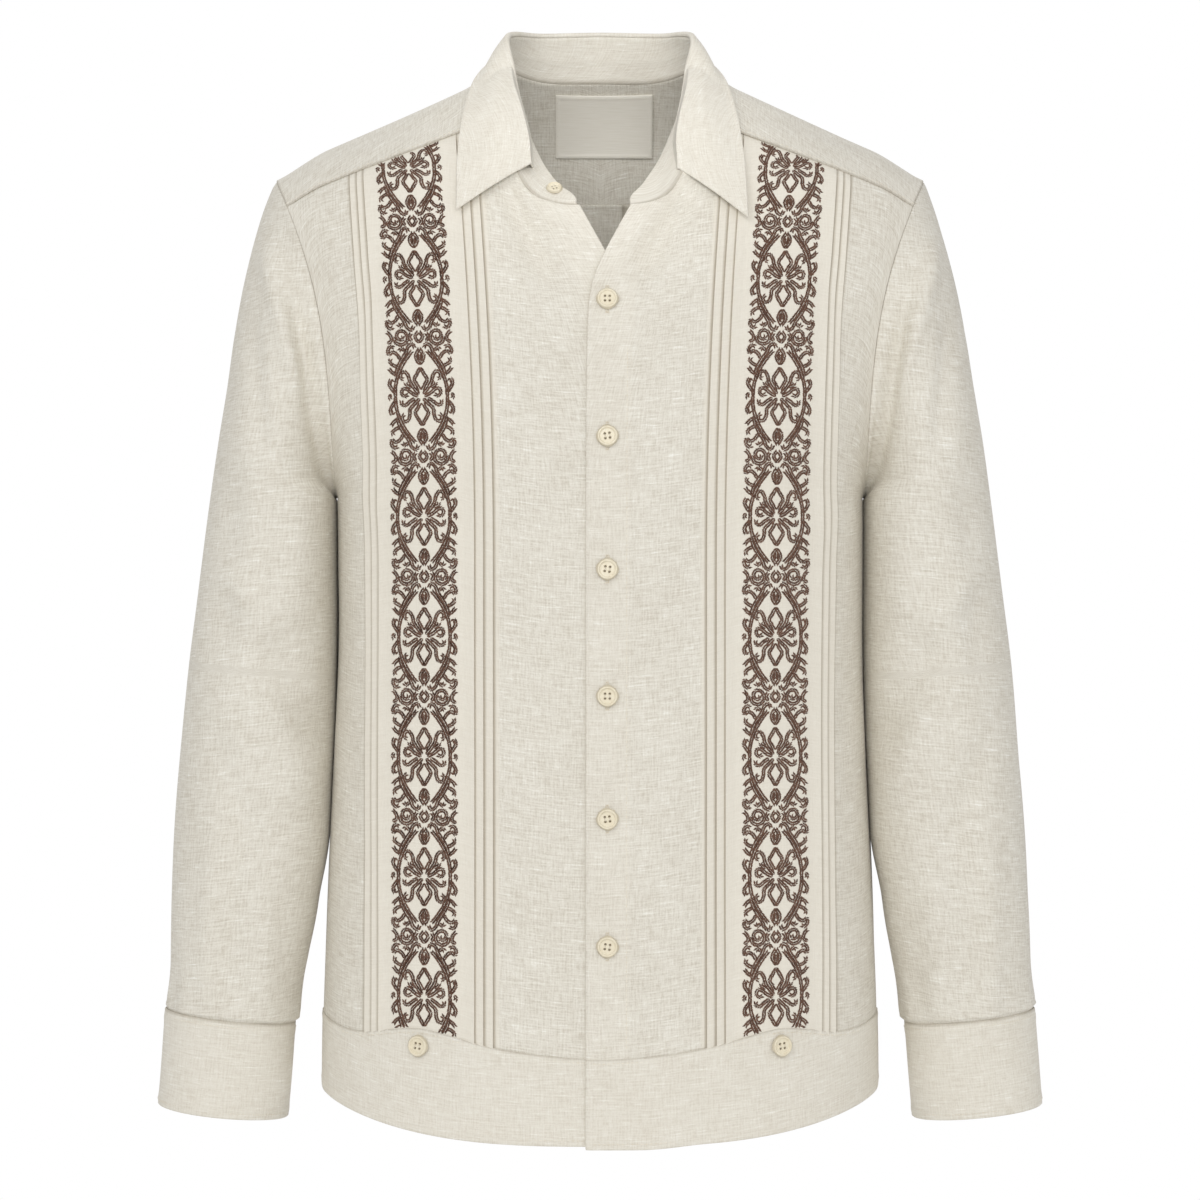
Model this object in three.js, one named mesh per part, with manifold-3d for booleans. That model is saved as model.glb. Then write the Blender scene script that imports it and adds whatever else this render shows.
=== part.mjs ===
// A long-sleeved guayabera shirt, filled out as if worn. Millimetres, +Z up, the front faces -Y.
// The origin lies between the shoulders, on the centre plane, where the wearer carries the shirt.
import * as THREE from "three";
import { mergeVertices } from "three/addons/utils/BufferGeometryUtils.js";
import Module from "manifold-3d";

// ---- driving sizes ----
const cloth = 1.5; // wall of one piece of linen with its turnings
const seamGap = 0.3; // between two pieces along a seam
const ringPower = 2.4; // superellipse power of the body's rings
const ridgeAtCentre = 56; // height of the shoulder line, carried on to the centre
const shoulderSlope = 0.4516;
const neckRise = 8; // the shoulder line turns up beside the neck
const shoulderRoll = 80; // fall from the shoulder line to the full depth of the chest
const tipX = 225; // shoulder tip, half of the shoulder width
const tipZ = ridgeAtCentre - shoulderSlope * tipX;
const underarmZ = -272;
const underarmX = 182.5;
const hemSpread = 10.5; // the side seams swing out this far towards the hem
const armholeDepth = 62; // half of the armhole's width from front to back
const armholeWidestZ = -165;
const neckY = -18; // centre of the neckline in plan
const neckHalfWidth = 74;
const neckFront = 72;
const neckBack = 66;
const neckPower = { front: 4, back: 2.3 }; // squareness of the neckline in plan
const hemCentreZ = -704;
const hemSideRise = 24;
const bandTopZ = -640; // where the hem band's seam lies, near enough to read its ring there
const sideX = 190;
const bandEnd = 19; // the under front ends here, past the centre line
const overEdge = -9; // the over front's edge
const vBottomZ = -141;
const vSlope = 0.545;
const lapLift = 2.7; // the over front rides this far above the under front
const lapFades = { from: 27, over: 45 }; // beyond the under front's edge it settles back
const tuckRise = 1.1;
const pleatHalf = 16;
const pleatRise = 1.6;

// Half depth of the body, front and back, at heights z.
const depthRows = [
  { z: 60, front: 54, back: 52 },
  { z: 30, front: 61, back: 59 },
  { z: 0, front: 69, back: 70 },
  { z: -40, front: 80, back: 82 },
  { z: -78, front: 90, back: 92 },
  { z: -110, front: 99, back: 99 },
  { z: -150, front: 109, back: 106 },
  { z: -200, front: 117, back: 110 },
  { z: -260, front: 121, back: 110 },
  { z: -330, front: 120.5, back: 107 },
  { z: -420, front: 118, back: 104 },
  { z: -520, front: 117, back: 102.5 },
  { z: -620, front: 119, back: 104 },
  { z: -705, front: 122, back: 107 },
];

// Upper edge of the hem band on a front, by distance from the centre line.
const bandRows = [
  { x: 0, z: -648 },
  { x: 28, z: -646.5 },
  { x: 50, z: -644 },
  { x: 75, z: -640 },
  { x: 99, z: -634 },
  { x: 120, z: -629.8 },
  { x: 140, z: -631.5 },
  { x: 158, z: -634.5 },
  { x: 174, z: -634 },
  { x: 193, z: -628.6 },
];

// Lines of one front outside the turned facing: distance from the centre line and rise above it.
// A tuck climbs from its stitches to its free edge and drops straight back.
const frontLines = [
  { x: 89.7, rise: 0 },
  { x: 83.7, rise: 1 },
  { x: 83.0, rise: 0 },
  { x: 77.7, rise: 1 },
  { x: 77.0, rise: 0 },
  { x: 71.2, rise: 1 },
  { x: 70.5, rise: 0 },
].reverse().concat([
  { x: 103, rise: 0 },
  { x: 117, rise: 0 },
  { x: 131, rise: 0 },
  { x: 143.5, rise: 0 },
  { x: 148.1, rise: 1 },
  { x: 148.7, rise: 0 },
  { x: 152.9, rise: 1 },
  { x: 153.5, rise: 0 },
  { x: 157.9, rise: 1 },
  { x: 158.5, rise: 0 },
]);
const tuckLean = 14.4; // the tucks lean out by this much towards the shoulder
const leanFromZ = -320;
const leanOver = 290;
const facingWidth = 28;
const sideColumns = 5;
const neckColumns = 6;

// Sections of a sleeve from the armhole to the cuff, inner and outer ends in the X, Z plane and
// the half depth from front to back. blend is how far the section has left the armhole's loop.
const sleeveRows = [
  { inX: 188.2, inZ: -268, outX: 231.7, outZ: -62, depth: 64, blend: 0.35 },
  { inX: 190, inZ: -272, outX: 240.1, outZ: -87.5, depth: 67, blend: 0.72 },
  { inX: 190, inZ: -279, outX: 248.5, outZ: -122.5, depth: 70, blend: 0.94 },
  { inX: 190, inZ: -288, outX: 254.8, outZ: -157, depth: 71.5, blend: 1 },
  { inX: 190, inZ: -299, outX: 260.2, outZ: -195, depth: 72, blend: 1 },
  { inX: 190, inZ: -313, outX: 266, outZ: -233, depth: 71, blend: 1 },
  { inX: 190, inZ: -330, outX: 272.3, outZ: -280, depth: 69, blend: 1 },
  { inX: 190, inZ: -355, outX: 278.6, outZ: -332, depth: 66.5, blend: 1 },
  { inX: 190.4, inZ: -395, outX: 285.4, outZ: -387, depth: 63, blend: 1 },
  { inX: 191, inZ: -445, outX: 290, outZ: -440, depth: 59.5, blend: 1 },
  { inX: 191.8, inZ: -500, outX: 294.4, outZ: -497, depth: 55, blend: 1 },
  { inX: 196, inZ: -552, outX: 297, outZ: -547, depth: 50, blend: 1 },
  { inX: 203, inZ: -590, outX: 298, outZ: -584, depth: 45.5, blend: 1 },
  { inX: 209.5, inZ: -620, outX: 298, outZ: -611, depth: 41, blend: 1 },
  { inX: 212.5, inZ: -635.5, outX: 298.5, outZ: -625.8, depth: 38, blend: 1 },
];
const armForward = 16; // the wrist hangs this far in front of the shoulder
const cuffRows = [
  { inX: 212.9, inZ: -636.0, outX: 298.9, outZ: -626.3, depth: 38 },
  { inX: 215.5, inZ: -668, outX: 301.6, outZ: -659, depth: 37.5 },
  { inX: 218.6, inZ: -700.7, outX: 304.4, outZ: -691.6, depth: 37 },
];
const cuffLap = 24; // degrees of the cuff that lie double
const cuffStart = 118; // where the cuff's under end lies, from the outer side towards the back

// Outer edge of the collar leaf on the shirt's surface, from the centre back (at 0) to a point.
const leafRows = [
  { at: 0, x: 0, q: 84 },
  { at: 0.22, x: 44, q: 72 },
  { at: 0.36, x: 76, q: 42 },
  { at: 0.48, x: 89, q: 4 },
  { at: 0.62, x: 94.5, q: -44 },
  { at: 0.8, x: 96.5, q: -92 },
  { at: 1, x: 95.5, q: -141 },
];
const leafLift = 3.7;
const leafThick = 1.9;
const leafSeat = 1.7; // from the stand's top to the leaf
const foldUp = 1.7;
const foldOut = 3.4;
const leafBulge = 2.2;
const leafEnd = 141; // degrees round from the centre back, where the leaf stops
const standThick = 1.6;
const standFoot = 2.9; // from the neckline to the stand's lower edge
const standEnds = { left: 165.5, right: 167.5 }; // degrees round from the centre back

// Roll line, the upper edge of the stand, by degrees round from the centre back.
const rollRows = [
  { turn: 0, x: 0, y: 45, z: 61.5 },
  { turn: 40, x: 42, y: 33, z: 57.5 },
  { turn: 69, x: 61.5, y: 6, z: 58 },
  { turn: 87, x: 63.5, y: -14, z: 52.5 },
  { turn: 100, x: 62, y: -26, z: 37 },
  { turn: 115, x: 58, y: -36, z: 12.5 },
  { turn: 125, x: 52.5, y: -47, z: -9 },
  { turn: 137, x: 46, y: -59, z: -35.5 },
  { turn: 146, x: 38.5, y: -68, z: -53 },
  { turn: 156, x: 28, y: -77, z: -61 },
  { turn: 170, x: 14, y: -84, z: -66 },
];

// The neck label lies level inside the yoke.
const label = { x: 2.9, halfWidth: 34.8, top: 21, bottom: -25, thick: 1, gap: 0.9 };

// Buttons: places on the cloth and sizes.
const buttonX = 4.9;
const placketButtons = [-143, -234.5, -322.5, -406.5, -488, -572.5];
const frontButton = { radius: 6.9, thick: 2.6, rim: 1.6, hole: 0.8, apart: 3 };
const standButton = { radius: 5.2, thick: 2.2, rim: 1.2, hole: 0.65, apart: 2.3 };
const buttonSides = 16;
const hemButton = { x: 120.6, z: -640.5 };

// ---- small helpers ----
const clamp = (t, low, high) => Math.min(high, Math.max(low, t));
const ease = (t) => {
  const c = clamp(t, 0, 1);
  return c * c * (3 - 2 * c);
};
const mix = (a, b, t) => a + (b - a) * t;
const radians = (degrees) => (degrees * Math.PI) / 180;

// Reads a table between its rows with a smooth cubic; key names the row's place, name the value.
function read(rows, key, name, at) {
  const rising = rows[rows.length - 1][key] > rows[0][key];
  const list = rising ? rows : rows.slice().reverse();
  const t = clamp(at, list[0][key], list[list.length - 1][key]);
  let i = 0;
  while (i < list.length - 2 && t > list[i + 1][key]) {
    i += 1;
  }
  const slope = (k) => {
    const a = list[Math.max(0, k - 1)];
    const b = list[Math.min(list.length - 1, k + 1)];
    return (b[name] - a[name]) / (b[key] - a[key]);
  };
  const step = list[i + 1][key] - list[i][key];
  const s = (t - list[i][key]) / step;
  const s2 = s * s;
  const s3 = s2 * s;
  return (2 * s3 - 3 * s2 + 1) * list[i][name] + (s3 - 2 * s2 + s) * step * slope(i)
    + (3 * s2 - 2 * s3) * list[i + 1][name] + (s3 - s2) * step * slope(i + 1);
}

// ---- the body's form ----
const ridge = (x) => ridgeAtCentre - shoulderSlope * Math.abs(x)
  + neckRise * (1 - ease((Math.abs(x) - 60) / 36));
const halfDepth = (z, back) => read(depthRows, "z", back ? "back" : "front", z);
const sideAt = (z) => underarmX + hemSpread * ease((-340 - z) / 340);
const armholeX = (z) => {
  const t = clamp((z - underarmZ) / (tipZ - underarmZ), 0, 1);
  return underarmX + (tipX - underarmX) * t ** 2.9;
};
const armholeY = (z) => {
  const t = clamp((armholeWidestZ - z) / (armholeWidestZ - underarmZ), 0, 1);
  return armholeDepth * Math.sqrt(1 - t * t) * (1 - 0.35 * ease((z + 60) / 100));
};
const halfWidth = (z, back) => {
  if (z <= underarmZ) {
    return sideAt(z);
  }
  const share = (armholeY(z) / halfDepth(z, back)) ** ringPower;
  return armholeX(z) / (1 - share) ** (1 / ringPower);
};
const roll = (x, z) => {
  const t = clamp((ridge(x) - z) / shoulderRoll, 0, 1);
  return Math.sqrt(1 - (1 - t) ** 2);
};

// Distance of the body's surface from the X, Z plane at (x, z).
function bodyY(x, z, back) {
  const s = clamp(Math.abs(x) / halfWidth(z, back), 0, 1);
  return halfDepth(z, back) * (1 - s ** ringPower) ** (1 / ringPower) * roll(x, z);
}

// Point of the ring at height z, angle a from the centre front towards +X.
function ringPoint(a, z) {
  const back = Math.cos(a) < 0;
  const x = Math.sign(Math.sin(a)) * halfWidth(z, back) * Math.abs(Math.sin(a)) ** (2 / ringPower);
  const y = halfDepth(z, back) * Math.abs(Math.cos(a)) ** (2 / ringPower) * roll(x, z);
  return new THREE.Vector3(x, back ? y : -y, z);
}
const ringAngle = (x, z, back) => {
  const a = Math.asin(clamp(Math.abs(x) / halfWidth(z, back), 0, 1) ** (ringPower / 2));
  return Math.sign(x) * (back ? Math.PI - a : a);
};

// q runs down the cloth from the shoulder line, to the back above 0 and to the front below 0.
const fallAt = (q) => {
  const quarter = (shoulderRoll * Math.PI) / 2;
  const far = Math.abs(q) - quarter;
  return far > 0 ? shoulderRoll + far : shoulderRoll * (1 - Math.cos(q / shoulderRoll));
};
const qAt = (x, z) => {
  const fall = ridge(x) - z;
  const far = fall - shoulderRoll;
  return far > 0 ? (shoulderRoll * Math.PI) / 2 + far
    : shoulderRoll * Math.acos(clamp(1 - fall / shoulderRoll, -1, 1));
};
function shoulderPoint(x, q) {
  const z = ridge(x) - fallAt(q);
  const y = bodyY(x, z, q > 0);
  return new THREE.Vector3(x, q > 0 ? y : -y, z);
}

// ---- lines on the body ----
// Neckline: angle n from the centre back, a squarish loop in plan.
function neckPlan(n) {
  const back = Math.cos(n) > 0;
  const power = back ? neckPower.back : neckPower.front;
  const sx = Math.abs(Math.sin(n)) / neckHalfWidth;
  const sy = Math.abs(Math.cos(n)) / (back ? neckBack : neckFront);
  const r = 1 / (sx ** power + sy ** power) ** (1 / power);
  return { x: r * Math.sin(n), y: neckY + r * Math.cos(n) };
}
// Height of the body where its surface stands over (x, y).
function heightOver(x, y) {
  let low = -150;
  let high = ridge(x);
  for (let i = 0; i < 40; i += 1) {
    const z = (low + high) / 2;
    if (bodyY(x, z, y > 0) > Math.abs(y)) {
      low = z;
    } else {
      high = z;
    }
  }
  return low;
}
function neckPoint(n) {
  const { x, y } = neckPlan(n);
  return new THREE.Vector3(x, y, heightOver(x, y));
}
const frontSeamQ = (x) => -mix(84, 70.4, clamp((Math.abs(x) - 71) / (216 - 71), -0.2, 1.1));
const backSeamZ = (x) => -57 - 45 * (x / 200) ** 2;

// Angle of the neckline where the front yoke seam meets it.
const cornerAngle = (() => {
  let low = radians(100);
  let high = radians(160);
  for (let i = 0; i < 40; i += 1) {
    const n = (low + high) / 2;
    const p = neckPoint(n);
    if (-qAt(p.x, p.z) > frontSeamQ(p.x)) {
      low = n;
    } else {
      high = n;
    }
  }
  return low;
})();
const cornerX = neckPlan(cornerAngle).x;

// Height of the neckline on a front, by distance from the centre line.
const neckFrontZ = (x) => {
  const share = clamp(Math.abs(x) / neckHalfWidth, 0, 0.999) ** neckPower.front;
  const y = neckY - neckFront * (1 - share) ** (1 / neckPower.front);
  return heightOver(x, y);
};
const frontTopZ = (x) => (Math.abs(x) < cornerX ? neckFrontZ(x) : ridge(x) - fallAt(frontSeamQ(x)))
  - seamGap / 2;

// Armhole: x of the loop q down the cloth from the shoulder tip.
function armholeAt(q) {
  let x = tipX;
  for (let i = 0; i < 30; i += 1) {
    x = armholeX(ridge(x) - fallAt(q));
  }
  return x;
}

// ---- the cloth shell: a closed wall through a grid of points ----
// at(u, v) gives the wall's middle; rise(i, j) lifts the outer face over grid point i, j.
function clothWall({ at, us, vs, thick = cloth, flip = false, rise = () => 0, loop = false }) {
  const step = 1e-3;
  const outer = [];
  const inner = [];
  us.forEach((u, i) => {
    vs.forEach((v, j) => {
      const along = at(u + step, v).sub(at(u - step, v));
      const across = at(u, v + step).sub(at(u, v - step));
      const normal = along.cross(across).normalize().multiplyScalar(flip ? -1 : 1);
      const middle = at(u, v);
      outer.push(middle.clone().addScaledVector(normal, thick / 2 + rise(i, j)));
      inner.push(middle.clone().addScaledVector(normal, -thick / 2));
    });
  });
  const rows = vs.length;
  const columns = us.length;
  const points = outer.concat(inner);
  const faces = [];
  const quad = (a, b, c, d) => faces.push(...(flip ? [a, c, b, a, d, c] : [a, b, c, a, c, d]));
  const id = (i, j, side) => side * columns * rows + (i % columns) * rows + j;
  const last = loop ? columns : columns - 1;
  for (let i = 0; i < last; i += 1) {
    for (let j = 0; j < rows - 1; j += 1) {
      quad(id(i, j, 0), id(i + 1, j, 0), id(i + 1, j + 1, 0), id(i, j + 1, 0));
      quad(id(i, j, 1), id(i, j + 1, 1), id(i + 1, j + 1, 1), id(i + 1, j, 1));
    }
    quad(id(i, 0, 1), id(i + 1, 0, 1), id(i + 1, 0, 0), id(i, 0, 0));
    quad(id(i, rows - 1, 0), id(i + 1, rows - 1, 0), id(i + 1, rows - 1, 1), id(i, rows - 1, 1));
  }
  if (!loop) {
    for (let j = 0; j < rows - 1; j += 1) {
      quad(id(0, j, 0), id(0, j + 1, 0), id(0, j + 1, 1), id(0, j, 1));
      quad(id(last, j, 1), id(last, j + 1, 1), id(last, j + 1, 0), id(last, j, 0));
    }
  }
  const geometry = new THREE.BufferGeometry();
  geometry.setAttribute("position", new THREE.Float32BufferAttribute(points.flatMap((p) => p.toArray()), 3));
  geometry.setIndex(faces);
  geometry.computeVertexNormals();
  return geometry;
}
const steps = (n, from = 0, to = 1) => Array.from({ length: n + 1 }, (_, i) => mix(from, to, i / n));
// Values between which a grid runs, found between whole numbers of a list.
const between = (list, u) => {
  const i = clamp(Math.floor(u), 0, list.length - 2);
  return mix(list[i], list[i + 1], u - i);
};

const group = new THREE.Group();
const finishes = {
  linen: { color: 0xddd8cb, roughness: 0.95, metalness: 0 },
  label: { color: 0xd8d2c4, roughness: 0.8, metalness: 0 },
  button: { color: 0xe6dcc0, roughness: 0.35, metalness: 0 },
};
function add(name, geometry, finish = "linen") {
  const mesh = new THREE.Mesh(geometry, new THREE.MeshStandardMaterial(finishes[finish]));
  mesh.name = name;
  group.add(mesh);
  return mesh;
}

// ---- fronts ----
// side is -1 for the wearer's right front (under) and 1 for the left front (over).
// Rows: even up to the underarm (knee), then close together where the armhole turns.
const knee = 0.6;
const aboveArm = [0.012, 0.05, 0.12, 0.22, 0.33, 0.44, 0.55, 0.66, 0.77, 0.88, 1];
const panelRows = (below) => steps(below).map((t) => t * knee)
  .concat(aboveArm.map((t) => knee + (1 - knee) * t));
const frontRows = panelRows(8);
const frontSeamZ = (x) => read(bandRows, "x", "z", Math.abs(x));
const backBandZ = (x) => -646 + 17.4 * (Math.abs(x) / 193) ** 3;
const hemZ = (x) => hemCentreZ + hemSideRise * (Math.abs(x) / sideX) ** 3;
const sewn = 0.0012; // half of the side seam's gap, in radians
// Last column of a panel: the side seam, then the armhole.
const panelEnd = (z, back) => {
  const gap = back ? sewn : -sewn;
  return z > underarmZ ? ringAngle(armholeX(z) - seamGap / 2, z, back) : Math.PI / 2 + gap;
};
const panelZ = (v, bottom, top) => (v < knee ? mix(bottom, underarmZ, v / knee)
  : mix(underarmZ, top, (v - knee) / (1 - knee)));

function edgeX(side, z) {
  // Under front: straight, then out to its side above the first button. Over front: likewise,
  // but it leaves the straight in a soft curve.
  if (side < 0) {
    return bandEnd - vSlope * Math.max(0, z - vBottomZ);
  }
  const over = z + 135;
  return overEdge + 0.57 * (over / 2 + Math.sqrt((over / 2) ** 2 + 81));
}

// x of every line of a front at height z, times side.
const leanAt = (z) => tuckLean * clamp((z - leanFromZ) / leanOver, 0, 1.2) ** 2.1;
const cornerLine = cornerX - leanAt(heightOver(cornerX, neckPlan(cornerAngle).y));
function frontLineX(side, z) {
  const edge = edgeX(side, z) * side;
  const lean = leanAt(z);
  const facing = edge + facingWidth;
  const corner = cornerLine + lean;
  const inner = [edge, edge + facingWidth / 2].concat(steps(neckColumns, facing, corner));
  return inner.concat(frontLines.map((line) => line.x + lean));
}
const frontRises = steps(neckColumns + 2).map(() => 0).concat(frontLines.map((line) => line.rise));

// Angles of all columns of a front at height z.
function frontAngles(side, z) {
  const lines = frontLineX(side, z).map((x) => Math.sign(x) * ringAngle(Math.abs(x), z, false));
  return lines.concat(steps(sideColumns, lines[lines.length - 1], panelEnd(z, false)).slice(1));
}
const lapOver = (x) => lapLift * (1 - ease((x - lapFades.from) / lapFades.over));

function frontPoint(side, u, v) {
  // The column's height at the top follows from its place there, found by stepping.
  let top = -60;
  for (let i = 0; i < 12; i += 1) {
    const x = Math.abs(ringPoint(between(frontAngles(side, top), u), top).x);
    top = mix(top, frontTopZ(x), 0.7);
  }
  const bottomX = ringPoint(between(frontAngles(side, bandTopZ), u), bandTopZ).x;
  const z = panelZ(v, frontSeamZ(bottomX) + seamGap / 2, top);
  const point = ringPoint(between(frontAngles(side, z), u) * side, z);
  if (side > 0) {
    point.y -= lapOver(point.x);
  }
  return point;
}
for (const side of [-1, 1]) {
  const columns = frontRises.length + sideColumns;
  add(side < 0 ? "front_right" : "front_left", clothWall({
    at: (u, v) => frontPoint(side, u, v),
    us: steps(columns - 1, 0, columns - 1),
    vs: frontRows,
    flip: side < 0,
    rise: (i) => tuckRise * (frontRises[i] ?? 0),
  }));
}

// ---- back ----
const pleatLines = [pleatHalf + 0.9, pleatHalf];
const backSide = 8;
function backAngles(z) {
  const end = panelEnd(z, true);
  const pleat = pleatLines.map((x) => ringAngle(x, z, true));
  const half = steps(backSide, end, pleat[0]).concat(pleat.slice(1), [Math.PI]);
  return half.concat(half.slice(0, -1).reverse().map((a) => 2 * Math.PI - a));
}
function backPoint(u, v) {
  let top = -70;
  for (let i = 0; i < 8; i += 1) {
    top = backSeamZ(ringPoint(between(backAngles(top), u), top).x) - seamGap / 2;
  }
  const bottomX = ringPoint(between(backAngles(bandTopZ), u), bandTopZ).x;
  const z = panelZ(v, backBandZ(bottomX) + seamGap / 2, top);
  return ringPoint(between(backAngles(z), u), z);
}
const backRows = panelRows(7);
const backColumns = 2 * (backSide + 2);
add("back", clothWall({
  at: backPoint,
  us: steps(backColumns, 0, backColumns),
  vs: backRows,
  rise: (i, j) => {
    const pleated = Math.abs(i - backColumns / 2) <= 1;
    return pleated ? pleatRise * ease((backRows[j] - 0.45) / 0.4) : 0;
  },
}));

// ---- yoke: half a patch each way from the centre back, from the neckline (0) to the outside (1) ----
const backPart = 0.52; // share of the outside that is the back seam
function yokeOutside(s) {
  if (s < backPart) {
    const reach = armholeAt(backCornerQ) * (s / backPart);
    return { x: reach, q: qAt(reach, backSeamZ(reach)) };
  }
  const q = mix(backCornerQ, frontSeamQ(216), (s - backPart) / (1 - backPart));
  return { x: armholeAt(q) - seamGap / 2, q };
}
const backCornerQ = (() => {
  let q = 110;
  for (let i = 0; i < 20; i += 1) {
    const x = armholeAt(q);
    q = qAt(x, backSeamZ(x));
  }
  return q;
})();
function yokePoint(u, v) {
  const s = Math.abs(u);
  const neck = neckPoint(cornerAngle * s);
  const from = { x: neck.x, q: neck.y > 0 ? qAt(neck.x, neck.z) : -qAt(neck.x, neck.z) };
  const to = yokeOutside(s);
  const x = mix(from.x, to.x, v) * Math.sign(u || 1);
  // The back seam's and the front seam's edges keep clear of the panels below.
  const clear = ease((s - 0.9) / 0.1) - ease((backPart + 0.02 - s) / 0.04) * v ** 4;
  return shoulderPoint(x, mix(from.q, to.q, v) + 2 * seamGap * clear);
}
const yokeSide = [0, 0.1, 0.2, 0.3, 0.4, 0.47, backPart, 0.6, 0.68, 0.76, 0.84, 0.92, 1];
add("yoke", clothWall({
  at: yokePoint,
  us: yokeSide.slice(1).reverse().map((s) => -s).concat(yokeSide),
  vs: steps(7),
}));

// ---- sleeves ----
// t runs round a section from its outer side, towards the back; v is a row of the table.
const sleeveGap = { out: 1.2, up: 1.6 };
function armholePoint(t) {
  const c = Math.cos(t);
  const z = mix(underarmZ, tipZ, (1 + c) / 2);
  const x = armholeX(z);
  const y = bodyY(x, z, Math.sin(t) > 0) * Math.sign(Math.sin(t));
  return new THREE.Vector3(x + sleeveGap.out, y, z + (sleeveGap.up * (1 - c)) / 2);
}
function sectionPoint(row, t, grow = 0) {
  const out = new THREE.Vector3(row.outX, 0, row.outZ);
  const inward = new THREE.Vector3(row.inX, 0, row.inZ);
  const half = out.distanceTo(inward) / 2;
  const along = out.clone().sub(inward).normalize();
  const point = out.add(inward).multiplyScalar(0.5).addScaledVector(along, (half + grow) * Math.cos(t));
  const forward = armForward * ease((-150 - point.z) / 480);
  point.y = (row.depth + grow) * Math.sin(t) - forward;
  return point;
}
const rowAt = (rows, v) => {
  const names = Object.keys(rows[0]);
  const listed = rows.map((row, at) => ({ ...row, at }));
  return Object.fromEntries(names.map((name) => [name, read(listed, "at", name, v)]));
};
function sleevePoint(side, t, v) {
  const row = rowAt(sleeveRows, Math.max(0, v - 1));
  if (v < 1) {
    row.blend *= v;
  }
  const point = sectionPoint(row, t);
  point.lerp(armholePoint(t), 1 - row.blend);
  point.x *= side;
  return point;
}
const around = 20;
for (const side of [-1, 1]) {
  add(side < 0 ? "sleeve_right" : "sleeve_left", clothWall({
    at: (u, v) => sleevePoint(side, u, v),
    us: steps(around, 0, 2 * Math.PI).slice(0, -1),
    vs: steps(sleeveRows.length, 0, sleeveRows.length),
    flip: side > 0,
    loop: true,
  }));
}

// ---- cuffs: a strip that laps over its own start ----
const cuffGrow = 2.3; // the strip has grown outwards this much after one turn
function cuffPoint(side, u, v) {
  const turn = u / (2 * Math.PI);
  const row = rowAt(cuffRows, v);
  const point = sectionPoint(row, u + radians(cuffStart), cuffGrow * turn);
  point.x *= side;
  return point;
}
for (const side of [-1, 1]) {
  add(side < 0 ? "cuff_right" : "cuff_left", clothWall({
    at: (u, v) => cuffPoint(side, u, v),
    us: steps(around + 2, 0, 2 * Math.PI + radians(cuffLap)),
    vs: [0, 1, 2],
    flip: side > 0,
  }));
}

// ---- hem bands: their columns are the panels' columns, so that the seams run together ----
const bandHangs = 2; // the over front's band hangs lower than the one under it
function bandFrontPoint(side, u, v) {
  const a = between(frontAngles(side, bandTopZ), u);
  const x = ringPoint(a, bandTopZ).x;
  const point = ringPoint(a * side, mix(hemZ(x), frontSeamZ(x) - seamGap / 2, v));
  if (side > 0) {
    point.y -= lapOver(point.x);
    point.z -= (1 - v) * bandHangs * (1 - ease((point.x - lapFades.from) / lapFades.over));
  }
  return point;
}
function bandBackPoint(u, v) {
  const a = between(backAngles(bandTopZ), u);
  const x = ringPoint(a, bandTopZ).x;
  return ringPoint(a, mix(hemZ(x), backBandZ(x) - seamGap / 2, v));
}
for (const side of [-1, 1]) {
  const columns = frontRises.length + sideColumns;
  add(side < 0 ? "hem_band_right" : "hem_band_left", clothWall({
    at: (u, v) => bandFrontPoint(side, u, v),
    us: steps(columns - 1, 0, columns - 1),
    vs: [0, 1],
    flip: side < 0,
  }));
}
add("hem_band_back", clothWall({ at: bandBackPoint, us: steps(backColumns, 0, backColumns), vs: [0, 1] }));

// ---- collar ----
// n is the angle round from the centre back. The stand is ruled from the neckline to the roll
// line, whose front ends lie open.
const rollPoint = (n) => new THREE.Vector3(
  Math.sign(n) * read(rollRows, "turn", "x", (Math.abs(n) * 180) / Math.PI),
  read(rollRows, "turn", "y", (Math.abs(n) * 180) / Math.PI),
  read(rollRows, "turn", "z", (Math.abs(n) * 180) / Math.PI),
);
function standPoint(n, v) {
  const end = radians(n < 0 ? standEnds.right : standEnds.left);
  const left = clamp((end - Math.abs(n)) / radians(17), 0, 1);
  const foot = neckPoint(n);
  const way = rollPoint(n).sub(foot);
  const height = way.length() * mix(0.3, 1, Math.sqrt(1 - (1 - left) ** 2));
  return foot.addScaledVector(way.normalize(), mix(standFoot, height, v));
}
const standTurns = [0, 12, 24, 36, 48, 58, 68, 78, 88, 98, 108, 116, 124, 131, 138, 144, 149, 154, 158, 162];
const standAngles = standTurns.slice(1).concat([standEnds.right]).reverse().map((n) => -radians(n))
  .concat(standTurns.concat([standEnds.left]).map(radians));
add("collar_stand", clothWall({ at: standPoint, us: standAngles, vs: steps(3), thick: standThick }));

// Normal of a surface given by a function of two numbers.
function normalOf(at, u, v, step = 1e-3) {
  const along = at(u + step, v).sub(at(u - step, v));
  return along.cross(at(u, v + step).sub(at(u, v - step))).normalize();
}
// Moves a point out until it stands at least lift off the body, away from the shoulder line.
function liftOffBody(point, lift) {
  const back = point.y > 0;
  for (let i = 0; i < 3; i += 1) {
    const gradX = bodyY(point.x + 0.5, point.z, back) - bodyY(point.x - 0.5, point.z, back);
    const gradZ = bodyY(point.x, point.z + 0.5, back) - bodyY(point.x, point.z - 0.5, back);
    const size = Math.sqrt(1 + gradX * gradX + gradZ * gradZ);
    const off = (Math.abs(point.y) - bodyY(point.x, point.z, back)) / size;
    const need = Math.max(0, lift - off) * ease((ridge(point.x) - 6 - point.z) / 12);
    point.x -= (gradX / size) * need;
    point.y += (back ? 1 : -1) * (need / size);
    point.z -= (gradZ / size) * need;
  }
  return point;
}
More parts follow.
